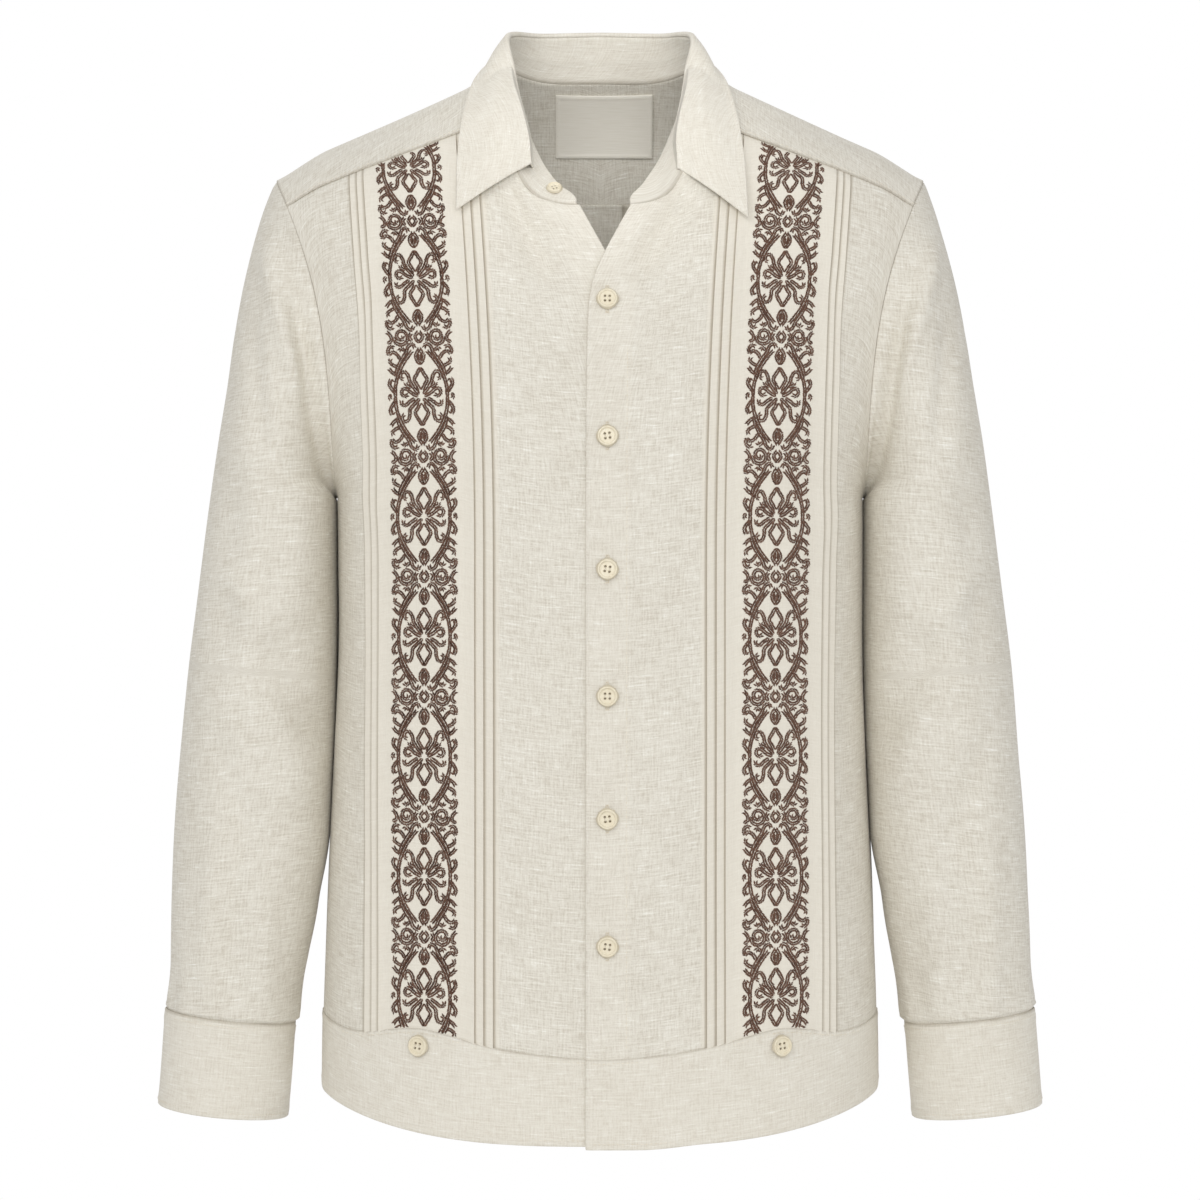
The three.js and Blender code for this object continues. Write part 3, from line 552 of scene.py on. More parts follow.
def makeThread(name, dark, light, roughness, sheen):
    # mercerised embroidery cotton: a soft shine, each stitch a little lighter or darker
    material, tree = newMaterial(name)
    tint = addNode(tree, "ShaderNodeAttribute", {"attribute_name": "tint"})
    place = addNode(tree, "ShaderNodeUVMap", {"uv_map": "cloth"})
    fibre = addNode(tree, "ShaderNodeTexNoise", {"noise_dimensions": "2D"},
                    {"Vector": (place, 0), "Scale": 900.0, "Detail": 2.0})
    level = addNode(tree, "ShaderNodeMath", {"operation": "MULTIPLY_ADD"}, {0: (tint, 2), 1: 0.6, 2: -0.05})
    mixed = addNode(tree, "ShaderNodeMath", {"operation": "MULTIPLY_ADD", "use_clamp": True},
                    {0: (fibre, 0), 1: 0.5, 2: (level, 0)})
    colour = addNode(tree, "ShaderNodeMix", {"data_type": "RGBA"},
                     {0: (mixed, 0), 6: linear(dark), 7: linear(light)})
    shader = addNode(tree, "ShaderNodeBsdfPrincipled", inputs={
        "Base Color": (colour, 2), "Roughness": roughness, "Sheen Weight": sheen, "Specular IOR Level": 0.35})
    addNode(tree, "ShaderNodeOutputMaterial", inputs={"Surface": (shader, 0)})
    return material


def makeButtonPlastic():
    # cast polyester button: cream, faintly clouded, polished
    material, tree = newMaterial("creamPolyester")
    place = addNode(tree, "ShaderNodeTexCoord")
    cloud = addNode(tree, "ShaderNodeTexNoise",
                    inputs={"Vector": (place, "Object"), "Scale": 220.0, "Detail": 2.0})
    colour = addNode(tree, "ShaderNodeMix", {"data_type": "RGBA"},
                     {0: (cloud, 0), 6: linear("#dfd3b6"), 7: linear("#efe7d2")})
    # painted shade: the holes and the rim's outer edge are multiplied by a dark brown
    crease = addNode(tree, "ShaderNodeAttribute", {"attribute_name": "crease"})
    shaded = addNode(tree, "ShaderNodeMix", {"data_type": "RGBA", "blend_type": "MULTIPLY"},
                     {0: (crease, 2), 6: (colour, 2), 7: linear("#6d5c3e")})
    shader = addNode(tree, "ShaderNodeBsdfPrincipled", inputs={
        "Base Color": (shaded, 2), "Roughness": 0.32, "IOR": 1.53, "Coat Weight": 0.2})
    addNode(tree, "ShaderNodeOutputMaterial", inputs={"Surface": (shader, 0)})
    return material


def makeLabelSatin():
    # damask-woven label: fine ribs that catch the light, left blank
    material, tree = newMaterial("labelSatin")
    place = addNode(tree, "ShaderNodeUVMap", {"uv_map": "cloth"})
    ribs = addNode(tree, "ShaderNodeMapping", inputs={"Vector": (place, 0), "Scale": (60, 1500, 1)})
    rib = addNode(tree, "ShaderNodeTexNoise", {"noise_dimensions": "2D"},
                  {"Vector": (ribs, 0), "Scale": 1.0, "Detail": 1.0})
    colour = addNode(tree, "ShaderNodeMix", {"data_type": "RGBA"},
                     {0: (rib, 0), 6: linear("#ece7da"), 7: linear("#f6f2e8")})
    bump = addNode(tree, "ShaderNodeBump", inputs={"Height": (rib, 0), "Strength": 0.3, "Distance": 0.0003})
    shader = addNode(tree, "ShaderNodeBsdfPrincipled", inputs={
        "Base Color": (colour, 2), "Roughness": 0.55, "Normal": (bump, 0), "Sheen Weight": 0.1})
    addNode(tree, "ShaderNodeOutputMaterial", inputs={"Surface": (shader, 0)})
    return material


linen = makeLinen("slubLinen", linenLook)
doubledLinen = makeLinen("doubledLinen", {**linenLook, "mid": "#dfdace", "dark": "#d2cbbd"}, calm=0.2)
brownThread = makeThread("brownCotton", "#432c22", "#80604e", 0.6, 0.03)
creamThread = makeThread("creamThread", "#d9cfba", "#f2ecdf", 0.6, 0.1)
buttonPlastic = makeButtonPlastic()
labelSatin = makeLabelSatin()
print("materials made")


def dress(piece, material, nodes=()):
    # material, the frame's body and what it stands for
    piece.data.materials.append(material)
    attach(piece, "root")
    if nodes:
        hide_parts(*nodes)
    print(piece.name, len(piece.data.polygons) * 2, "triangles")


# fronts
front = {
    "underEnd": 19, "overEdge": -9, "vBottom": -138.5, "vSlope": 0.545,
    "lap": 2.1,  # the over front rides this far above the under front
    "lapFrom": 27, "lapOver": 45,  # beyond the under front's edge it settles back
    "edgeTurn": -129, "edgeSlope": 0.57, "edgeRound": 9,  # where the over front's edge leaves for the V
    "facing": 28, "facingRise": 0.3,  # the turned facing shows as a slight step
    "bead": 0.35,  # rolled free edge
    "stripFrom": 66, "stripTo": 160,  # plainer cloth between these distances from the centre line
    "lean": 14.4, "leanFrom": -320, "leanOver": 290,  # the tucks lean out towards the shoulder
    "lastLine": 158.5, "columnStep": 2.3,
    "innerTucks": (70.5, 77.0, 83.0), "outerTucks": (148.7, 153.5, 158.5),
    "tuckRise": 1.25, "tuckDrop": 0.35,
    "tongue": 4.5,  # how far a front goes under the yoke and the hem band
    "area": 0.151,
}
# upper edge of the hem band on a front, by distance from the centre line
bandRows = {
    "x": [0, 28, 50, 75, 99, 120, 140, 158, 174, 193],
    "z": [-648, -646.5, -644, -640, -634, -629.8, -631.5, -634.5, -634, -628.6],
}
# creases of the fronts, from (a0, b0) to (a1, b1): a out from the centre line, b up
frontFolds = {
    "Right": [
        {"a0": 38, "b0": -66, "a1": 18, "b1": -114, "width": 4.5, "height": 1.9},
        {"a0": 64, "b0": -60, "a1": 30, "b1": -136, "width": 10, "height": -6.6},
        {"a0": 78, "b0": -84, "a1": 52, "b1": -165, "width": 13, "height": 1.4},
        {"a0": 150, "b0": -120, "a1": 178, "b1": -205, "width": 12, "height": -1.6},
        {"a0": 120, "b0": -300, "a1": 172, "b1": -262, "width": 16, "height": 1.2},
        {"a0": 40, "b0": -420, "a1": 52, "b1": -620, "width": 20, "height": 1.3},
        {"a0": 172, "b0": -330, "a1": 165, "b1": -560, "width": 13, "height": -1.7},
    ],
    "Left": [
        {"a0": 60, "b0": -62, "a1": 24, "b1": -132, "width": 10, "height": -6.6},
        {"a0": 33, "b0": -78, "a1": 10, "b1": -128, "width": 4, "height": 1.1},
        {"a0": 74, "b0": -86, "a1": 46, "b1": -170, "width": 13, "height": 1.5},
        {"a0": 152, "b0": -116, "a1": 176, "b1": -196, "width": 11, "height": -1.5},
        {"a0": 116, "b0": -322, "a1": 170, "b1": -276, "width": 17, "height": 1.3},
        {"a0": 44, "b0": -380, "a1": 38, "b1": -600, "width": 21, "height": 1.2},
        {"a0": 170, "b0": -350, "a1": 167, "b1": -590, "width": 12, "height": -1.6},
    ],
}


def bandTopZ(x):
    return readTable(bandRows, "x", "z", np.abs(x))


def leanAt(z):
    # lean t^2.1, t from where the tucks start to lean
    return front["lean"] * np.clip((z - front["leanFrom"]) / front["leanOver"], 0, 1.2)**2.1


def edgeX(side, z):
    # free edge towards +X: straight up to the opening, then out along the V, on the over front
    # through a hyperbola, slope (h + sqrt(h^2 + round^2))
    if side < 0:
        return front["underEnd"] - front["vSlope"] * np.maximum(0, z - front["vBottom"])
    half = (z - front["edgeTurn"]) / 2
    return front["overEdge"] + front["edgeSlope"] * (half + np.sqrt(half**2 + front["edgeRound"]**2))


def lapLift(side, a):
    # how far the over front rides on the under front
    return (front["lap"] if side > 0 else 0) * (1 - ease((a - front["lapFrom"]) / front["lapOver"]))


def frontLift(side, a, z):
    # folds and slow waves, calm near the placket and the hem
    quiet = ease((a - 6) / 26) * ease((z + 640) / 60) * 0.75 + 0.25
    return softFolds(frontFolds[handOf(side)], a, z) + quiet * ripple(a, z, 1.3 if side > 0 else 0.4)


def frontSurface(side):
    # the front without its folds: a out from the centre line on that side, z up
    def at(a, z):
        return np.stack([side * a + 0 * z, -bodyY(a, z, False) - lapLift(side, a), z + 0 * a], -1)
    return at


def panelEnd(z, back, beyond):
    # angle of the armhole above the underarm and, below it, of the side seam and a little beyond
    return np.where(z > body["underarmZ"], ringAngle(armholeX(z), z, back), math.pi / 2 + beyond)


# columns of a front: across each tuck its stitches, its free edge and the drop back to the cloth
tuckPlaces = [front["innerTucks"][0] - 2, front["innerTucks"][0]]
tuckHeights = [0, 0]
for place in front["innerTucks"]:
    tuckPlaces += [place + 0.01, place + front["tuckDrop"]]
    tuckHeights += [0, 1]
tuckPlaces += [front["innerTucks"][2] + 6.7, front["outerTucks"][0] - 5.2]
tuckHeights += [0, 0]
for place in front["outerTucks"]:
    tuckPlaces += [place - front["tuckDrop"], place - 0.01]
    tuckHeights += [1, 0]
baseCorner = cornerX - leanAt(cornerPoint[2])
lastLine = front["lastLine"]
between = np.arange(baseCorner + 1.6, lastLine - 0.1, front["columnStep"])
between = between[np.abs(between[:, None] - np.array(tuckPlaces)).min(1) > 0.5]
lineColumns = np.unique(np.concatenate([[baseCorner, lastLine], between, tuckPlaces]))
lineColumns = lineColumns[(lineColumns >= baseCorner) & (lineColumns <= lastLine)]
innerColumns = 1 - np.linspace(1, 0, 27)[:-1]**1.15
sideSteps = np.linspace(0, 1, 26)[1:]


def frontAngle(side, kind, value, z):
    # angle round the body of a front's column at height z
    # kind 0: share from the free edge to the corner line; 1: line; 2: share of the side part
    lean = leanAt(z)
    last = ringAngle(lineColumns[-1] + lean, z, False)
    x = np.where(kind == 0, mix(edgeX(side, z) * side, baseCorner + lean, value), value + lean)
    line = np.sign(x) * np.abs(ringAngle(np.abs(x), z, False))
    end = panelEnd(z, False, 0.007)
    return np.where(kind == 2, mix(last, end, value), line)


def panelRows(count, armCount, knee=0.6):
    # shares of a panel's height: even up to the underarm, closing up towards its top and its ends
    low = np.linspace(0, knee, count)[:-1]
    t = np.linspace(0, 1, armCount)
    high = knee + (1 - knee) * (0.7 * t + 0.3 * t * t)
    ends = np.array([0.002, 0.004, 0.0065, 0.01, 0.014, 0.9975, 0.995, 0.992, 0.988, 0.982])
    return np.unique(np.concatenate([low, high, ends]))


def panelZ(v, bottom, top, knee=0.6):
    # the knee of the rows lies at the underarm
    under = mix(bottom, body["underarmZ"], v / knee)
    return np.where(v < knee, under, mix(body["underarmZ"], top, (v - knee) / (1 - knee)))


def buildFront(side):
    kind = np.concatenate([0 * innerColumns, 0 * lineColumns + 1, 0 * sideSteps + 2])[:, None]
    value = np.concatenate([innerColumns, lineColumns, sideSteps])[:, None]
    tucks = np.interp(np.where(kind == 1, value, 0), tuckPlaces, tuckHeights)
    # each column's top is stepped towards the neckline or the yoke's seam, wherever it meets it
    top = np.full(kind.shape, -60.0)
    for _ in range(14):
        x = np.abs(ringPoint(frontAngle(side, kind, value, top), top)[..., 0])
        reach = np.where(x < cornerX, 0.0, front["tongue"] * 0.8)
        top = mix(top, frontTopZ(x) + reach, 0.7)
    low = np.full(kind.shape, -640.0)
    lowX = ringPoint(frontAngle(side, kind, value, low), low)[..., 0]
    bottom = bandTopZ(lowX) - front["tongue"]
    v = panelRows(110, 72)[None, :]
    z = panelZ(v, bottom, top)
    angle = frontAngle(side, kind, value, z)
    middle = ringPoint(angle, z)
    a = middle[..., 0].copy()
    middle[..., 0] = a * side
    middle[..., 1] -= lapLift(side, a)
    # tucked in under the yoke and the band, raised along the facing, and level at the armhole
    toTop = frontTopZ(x) - z
    underYoke = np.where(x < cornerX, 0, 1 - ease(toTop / 2.5))
    underBand = 1 - ease((z - bottom - front["tongue"]) / 2.5)
    fromEdge = a - edgeX(side, z) * side
    doubled = front["facingRise"] * (1 - ease((fromEdge - front["facing"]) / 1.2)) * (kind == 0)
    bead = front["bead"] * np.exp(-((fromEdge - 0.9) / 0.8)**2) * (kind == 0)
    nearArm = np.where(kind == 2, ease((value - 0.82) / 0.18), 0) * (z > body["underarmZ"])
    nearSide = np.where(kind == 2, ease((value - 0.95) / 0.05), 0) * (z <= body["underarmZ"])
    lift = frontLift(side, a, z) * (1 - nearArm)
    lift = lift - 0.4 * np.maximum(underYoke, underBand) + 0.45 * nearArm - 0.5 * nearSide
    edgeFade = ease((toTop + 1) / 10)
    # shade along the foot of each tuck's free edge
    shadeAt = [place + d for place in front["innerTucks"] for d in (-0.65, -0.05, 0.2)]
    shadeAt += [place + d for place in front["outerTucks"] for d in (-0.2, 0.05, 0.65)]
    drops = np.interp(np.where(kind == 1, value, 0), shadeAt, [0, 1, 0] * (len(shadeAt) // 3))
    base = np.where(kind == 1, value, np.where(kind == 0, a - leanAt(z), 200))
    strip = ease((base - front["stripFrom"]) / 3) * (1 - ease((base - front["stripTo"]) / 2)) * (kind == 1)
    uv = arcUv(middle, column=len(innerColumns), row=0)
    if side < 0:
        uv = uv * [-1, 1] + [0.9, 0.3]
    rise = front["tuckRise"] * tucks * edgeFade + doubled + bead
    hand = handOf(side)
    piece = addShell("front" + hand, middle, uv, lift=lift, rise=rise, flip=side < 0,
                     marks={"strip": strip + 0.3 * (doubled > 0.1), "crease": 0.8 * drops})
    dress(piece, linen, ["front_" + hand.lower()])


for side in (-1, 1):
    buildFront(side)
print("fronts made")

# back
back = {
    "pleatX": (16.9, 16.5, 16.1, 15.7, 14, 11, 8, 5, 2.5),  # columns from beside the pleat to its middle
    "pleatRise": 1.6, "tongue": 4.5, "topTongue": 1.1, "area": 0.262,
    "bandZ": -646, "bandRise": 17.4, "bandX": 193,  # the hem band's seam: its height, and its climb at bandX
}
backFolds = [
    {"a0": 15, "b0": -70, "a1": 26, "b1": -330, "width": 6, "height": 2.5},
    {"a0": -15, "b0": -70, "a1": -23, "b1": -300, "width": 6, "height": 2.3},
    {"a0": 60, "b0": -110, "a1": 88, "b1": -420, "width": 17, "height": -3.0},
    {"a0": -66, "b0": -100, "a1": -84, "b1": -380, "width": 18, "height": -2.8},
    {"a0": 128, "b0": -180, "a1": 174, "b1": -262, "width": 14, "height": 3.0},
    {"a0": -124, "b0": -190, "a1": -172, "b1": -268, "width": 15, "height": 2.8},
    {"a0": 4, "b0": -400, "a1": -10, "b1": -630, "width": 26, "height": 3.0},
    {"a0": 110, "b0": -430, "a1": 122, "b1": -630, "width": 22, "height": 2.8},
    {"a0": -112, "b0": -410, "a1": -120, "b1": -625, "width": 24, "height": 2.7},
    {"a0": -60, "b0": -470, "a1": -52, "b1": -632, "width": 18, "height": -2.5},
    {"a0": 58, "b0": -500, "a1": 62, "b1": -634, "width": 17, "height": -2.3},
]


def backBandZ(x):
    # upper edge of the hem band at the back: bandZ + bandRise |x / bandX|^3
    return back["bandZ"] + back["bandRise"] * (np.abs(x) / back["bandX"])**3


def hemZ(x):
    # lower edge of the shirt: hemZ + hemSideRise |x / sideX|^3
    return body["hemZ"] + body["hemSideRise"] * (np.abs(x) / body["sideX"])**3


def backLift(a, z):
    # folds and slow waves, calm near the hem
    quiet = ease((z + 640) / 60) * 0.7 + 0.3
    return softFolds(backFolds, a, z) + quiet * ripple(a, z, 2.2, 0.45)


def buildBack():
    share = np.linspace(0, 1, 62)
    share = np.concatenate([[0, 0.008, 0.018], share[2:-1]])
    pleatX = np.array(back["pleatX"])
    v = panelRows(92, 64)[None, :]

    def angles(z):
        # rows of z for every column of one half; the centre line lies at half a turn
        end = panelEnd(z[:len(share)], True, -0.002)
        start = ringAngle(pleatX[0], z[:len(share)], True)
        side = mix(end, start, share[:, None])
        pleat = ringAngle(pleatX[:, None], z[len(share):], True)
        return np.concatenate([side, pleat])

    count = len(share) + len(pleatX)
    top = np.full((count, 1), -70.0)
    for _ in range(10):
        top = backSeamZ(ringPoint(angles(top), top)[..., 0]) + back["topTongue"]
    low = np.full((count, 1), -640.0)
    bottom = backBandZ(ringPoint(angles(low), low)[..., 0]) - back["tongue"]
    z = panelZ(v, bottom, top)
    angle = angles(z)
    zCentre = panelZ(v, backBandZ(0.0) - back["tongue"], backSeamZ(0.0) + back["topTongue"])
    z = np.concatenate([z, zCentre, z[::-1]])
    angle = np.concatenate([angle, np.full(zCentre.shape, math.pi), 2 * math.pi - angle[::-1]])
    middle = ringPoint(angle, z)
    a = middle[..., 0]
    shares = np.concatenate([share, 2 + 0 * pleatX, [2], 2 + 0 * pleatX, share[::-1]])[:, None]
    toTop = backSeamZ(a) - z
    under = np.maximum(1 - ease(toTop / 2.5), 1 - ease((z - backBandZ(a)) / 2.5))
    nearArm = (1 - ease(shares / 0.1)) * (z > body["underarmZ"])
    nearSide = (1 - ease(shares / 0.03)) * (z <= body["underarmZ"])
    profile = np.interp(np.abs(a), [15.7, 16.1, 16.6], [1, 0.92, 0])
    rows = ease((v - 0.45) / 0.4)
    lift = backLift(a, z) * (1 - nearArm) - 0.5 * under + 0.5 * nearArm + 0.45 * nearSide
    rise = back["pleatRise"] * rows * profile * (1 - under)
    # painted shade along the pleat's folded edges
    crease = np.interp(np.abs(a), [15.4, 16.7, 17.6], [0, 0.7, 0]) * rows
    piece = addShell("backPanel", middle, arcUv(middle, column=count), lift=lift, rise=rise,
                     marks={"crease": crease})
    dress(piece, linen, ["back"])


buildBack()
print("back made")

# yoke: half a patch each way from the centre back
yoke = {"backPart": 0.52, "over": 0.45, "edge": 0.35, "fade": 7.0, "area": 0.075}
yokeFolds = [
    {"a0": 92, "b0": -60, "a1": 190, "b1": -22, "width": 13, "height": -1.3},
    {"a0": -96, "b0": -66, "a1": -186, "b1": -30, "width": 13, "height": -1.2},
    {"a0": 110, "b0": 30, "a1": 200, "b1": 10, "width": 14, "height": 0.9},
    {"a0": -106, "b0": 36, "a1": -196, "b1": 16, "width": 14, "height": 0.9},
    {"a0": -40, "b0": 96, "a1": 60, "b1": 100, "width": 16, "height": 0.7},
]


def findBackCorner():
    # how far down the cloth the yoke's back seam meets the armhole
    q = 110.0
    for _ in range(20):
        x = armholeAt(np.array(q))
        q = qAt(x, backSeamZ(x))
    return float(q)


backCornerQ = findBackCorner()


def yokeLift(a, q):
    # folds and slow waves
    return softFolds(yokeFolds, a, q) + ripple(a, q, 4.1, 0.3)


def buildYoke():
    # u runs round from the centre back, v from the neckline out to the seams
    part = yoke["backPart"]
    ends = np.array([0.0, 0.004, 0.009, 0.016, 0.026, 0.04])
    half = np.unique(np.concatenate([np.linspace(0, part, 48), np.linspace(part, 1, 50), 1 - ends]))
    u = np.concatenate([-half[:0:-1], half])[:, None]
    v = np.unique(np.concatenate([np.linspace(0, 1, 56), 1 - ends]))[None, :]
    s = np.abs(u)
    neck = neckPoint(cornerAngle * s)
    fromX = neck[..., 0]
    fromQ = np.sign(neck[..., 1]) * qAt(fromX, neck[..., 2])
    reach = armholeAt(np.full(s.shape, backCornerQ)) * (s / part)
    sideQ = mix(backCornerQ, frontSeamQ(float(yokeSeams["armX"])), (s - part) / (1 - part))
    toX = np.where(s < part, reach, armholeAt(sideQ))
    toQ = np.where(s < part, qAt(reach, backSeamZ(reach)), sideQ)
    x = mix(fromX, toX, v) * np.where(u < 0, -1, 1)
    q = mix(fromQ, toQ, v)
    middle = shoulderPoint(x, q)
    across = np.linalg.norm(np.diff(middle, axis=1), axis=2)
    toSide = np.concatenate([np.cumsum(across[:, ::-1], 1)[:, ::-1], np.zeros((len(u), 1))], 1)
    along = np.linalg.norm(np.diff(middle, axis=0), axis=2)
    zero = np.zeros((1, v.shape[1]))
    toEnd = np.minimum(np.concatenate([zero, np.cumsum(along, 0)]),
                       np.concatenate([np.cumsum(along[::-1], 0)[::-1], zero]))
    edge = 1 - ease(np.minimum(toSide, toEnd) / yoke["fade"])
    lift = yokeLift(x, q) * (1 - edge) + yoke["over"] * edge
    rise = yoke["edge"] * (1 - ease(np.minimum(toSide, toEnd) / 9))
    # painted shade along the yoke's edges, where they lie over the seams
    dark = 0.35 * (1 - ease(np.minimum(toSide, toEnd) / 1.2))
    uv = np.stack([x, q + body["slope"] * np.abs(x)], -1) * 0.001 + [2.3, 0.4]
    piece = addShell("yokePanel", middle, uv, lift=lift, rise=rise, marks={"crease": dark})
    dress(piece, linen, ["yoke"])


buildYoke()
print("yoke made")

# sleeves
# sections of a sleeve from the armhole to the cuff: the inner and outer ends seen from the front,
# half the depth, and how far the section has left the armhole's loop
sleeveRows = {
    "inX": [188.2, 190, 190, 190, 190, 190, 190, 190, 190.4, 191, 191.8, 196, 203, 209.5, 212.5],
    "inZ": [-268, -272, -279, -288, -299, -313, -330, -355, -395, -445, -500, -552, -590, -620, -635.5],
    "outX": [231.7, 240.1, 248.5, 254.8, 260.2, 266, 272.3, 278.6, 285.4, 290, 294.4, 297, 298, 298, 298.5],
    "outZ": [-62, -87.5, -122.5, -157, -195, -233, -280, -332, -387, -440, -497, -547, -584, -611, -625.8],
    "depth": [64, 67, 70, 71.5, 72, 71, 69, 66.5, 63, 59.5, 55, 50, 45.5, 41, 38],
    "blend": [0.35, 0.72, 0.94, 1, 1, 1, 1, 1, 1, 1, 1, 1, 1, 1, 1],
    "at": list(range(15)),
}
cuffRows = {
    "inX": [212.9, 215.5, 218.6], "inZ": [-636.0, -668, -700.7],
    "outX": [298.9, 301.6, 304.4], "outZ": [-626.3, -659, -691.6],
    "depth": [38, 37.5, 37], "at": [0, 1, 2],
}
sleeve = {
    "forward": 16, "blouse": 2.4, "area": 0.18,
    "clear": 0.7, "hugsFrom": -258, "hugsTo": -552,  # the heights between which it hangs against the side
    "radius": 52,  # mean radius, for the threads that run round it
}
# the middle of the arm, by height
sleeveAxis = {"z": [-690, -640, -500, -300, -60], "x": [261, 256, 243, 228, 212]}
cuff = {
    "start": 118, "lap": 24,  # degrees: where it starts, and how far it laps over itself
    "grow": 2.3, "thick": 1.4, "lift": 0.55,
    "round": 60, "tall": 32,  # millimetres of cloth to a radian and to a row, for the stitching
}
# creases of the sleeves seen from the front and from behind: a out from the centre plane, b up
sleeveFolds = {
    "before": [
        {"a0": 229, "b0": -98, "a1": 202, "b1": -206, "width": 7.5, "height": 6.6},
        {"a0": 240, "b0": -138, "a1": 228, "b1": -250, "width": 9, "height": -4.4},
        {"a0": 209, "b0": -138, "a1": 183, "b1": -272, "width": 7, "height": -8.4},
        {"a0": 226, "b0": -372, "a1": 196, "b1": -446, "width": 12, "height": -5.2, "bow": 3},
        {"a0": 232, "b0": -402, "a1": 206, "b1": -486, "width": 12, "height": 3.6, "bow": 3},
        {"a0": 262, "b0": -318, "a1": 218, "b1": -366, "width": 11, "height": 4.4},
        {"a0": 208, "b0": -262, "a1": 212, "b1": -362, "width": 11, "height": 3.4},
        {"a0": 250, "b0": -250, "a1": 258, "b1": -400, "width": 13, "height": -3.6},
        {"a0": 264, "b0": -430, "a1": 232, "b1": -520, "width": 12, "height": -3.2},
        {"a0": 240, "b0": -480, "a1": 252, "b1": -620, "width": 9, "height": -2.6},
        {"a0": 264, "b0": -500, "a1": 270, "b1": -628, "width": 8, "height": 2.0},
        {"a0": 224, "b0": -530, "a1": 234, "b1": -630, "width": 7, "height": 2.0},
    ],
    "behind": [
        {"a0": 214, "b0": -110, "a1": 204, "b1": -240, "width": 9, "height": 4.0},
        {"a0": 200, "b0": -160, "a1": 188, "b1": -290, "width": 8, "height": -4.6},
        {"a0": 268, "b0": -350, "a1": 214, "b1": -392, "width": 10, "height": 4.2},
        {"a0": 276, "b0": -376, "a1": 222, "b1": -424, "width": 9, "height": -3.6},
        {"a0": 282, "b0": -410, "a1": 226, "b1": -452, "width": 10, "height": 3.4},
        {"a0": 236, "b0": -480, "a1": 248, "b1": -622, "width": 9, "height": -1.8},
        {"a0": 258, "b0": -500, "a1": 266, "b1": -626, "width": 8, "height": 1.5},
    ],
}


def sectionPoint(rows, at, t, grow=0.0):
    # ellipse between the inner and outer ends of a section, t round it from the outer side to the back
    outX, outZ, inX, inZ, depth = (readTable(rows, "at", key, at)
                                   for key in ("outX", "outZ", "inX", "inZ", "depth"))
    length = np.hypot(outX - inX, outZ - inZ)
    reach = (length / 2 + grow) * np.cos(t) / length
    x = (outX + inX) / 2 + (outX - inX) * reach
    z = (outZ + inZ) / 2 + (outZ - inZ) * reach
    y = (depth + grow) * np.sin(t) - sleeve["forward"] * ease((-150 - z) / 480)
    return np.stack([x, y, z], -1)


def armholePoint(t, inside=0.0):
    # the loop on the body where the sleeve is set in, or a line that far inside it
    z = mix(body["underarmZ"], tipZ, (1 + np.cos(t)) / 2)
    x = armholeX(z) - inside
    return np.stack([x + 0.3, bodyY(x, z, np.sin(t) > 0) * np.sign(np.sin(t)), z + 0 * x], -1)


def sleeveRow(name, v):
    # a column of the sleeve's table, whose first section lies at v = 1
    return readTable(sleeveRows, "at", name, np.maximum(0, v - 1))


def sleeveBlend(v):
    # 0 on the armhole's loop, 1 where the sleeve has its own section
    return sleeveRow("blend", v) * np.clip(v, 0, 1)


def sleeveMiddle(t, v):
    # (1 - blend) armhole + blend section; below 0 it goes inside the body, past 15 into the cuff
    point = sectionPoint(sleeveRows, np.maximum(0, v - 1), t)
    past = np.maximum(0, v - 15)[..., None] * np.array([0.085, 0, -1.0])
    head = armholePoint(t + 0 * v, np.where(v < 0, -v, 0.0))
    return mix(head, point, sleeveBlend(v)[..., None]) + past


def sleeveLift(side, t, v, point):
    # folds seen from before and behind, slow waves, gathers and the turn into the cuff
    x = point[..., 0]
    z = point[..., 2]
    before = softFolds(sleeveFolds["before"], x, z) * ease(-np.sin(t) * 2)
    behind = softFolds(sleeveFolds["behind"], x, z) * ease(np.sin(t) * 2)
    shift = 0.7 if side > 0 else 3.3
    wave = ripple(x + 60 * t, z, shift, 0.55)
    # gathers let in above the cuff, and the cloth puffing out over it
    over = ease((v - 12.2) / 2.4)
    gathers = (0.5 * np.sin(9 * t + shift) + 0.35 * np.sin(14 * t + 2 * shift)) * over
    puff = sleeve["blouse"] * ease((v - 13.2) / 1.3) * (1 - ease((v - 14.72) / 0.26))
    head = ease((v - 0.15) / 1.6)
    calm = 1 - ease((v - 14.8) / 0.2)
    # the inner side hangs against the body, down to where it swings clear of it
    window = ease((sleeve["hugsFrom"] - z) / 12) * ease((z - sleeve["hugsTo"]) / 52)
    inward = ease((-np.cos(t) - 0.1) / 0.75)
    gap = sleeveRow("inX", v) - halfWidth(np.minimum(z, body["underarmZ"] - 1), False)
    closing = np.maximum(0, gap * sleeveBlend(v) - sleeve["clear"]) * window * inward
    wave = wave * (1 - window * inward)
    turn = np.mod(t - math.radians(cuff["start"]), 2 * math.pi) / (2 * math.pi)
    grown = cuff["grow"] * turn * (1 - ease((turn - 0.92) / 0.08)) * ease((v - 14.5) / 0.5)
    seamed = 0.9 * (1 - ease(v / 0.22)) - 0.1 * ease((v - 14.96) / 0.06) - grown
    return (before + behind + wave + gathers) * head * calm + puff - seamed + closing


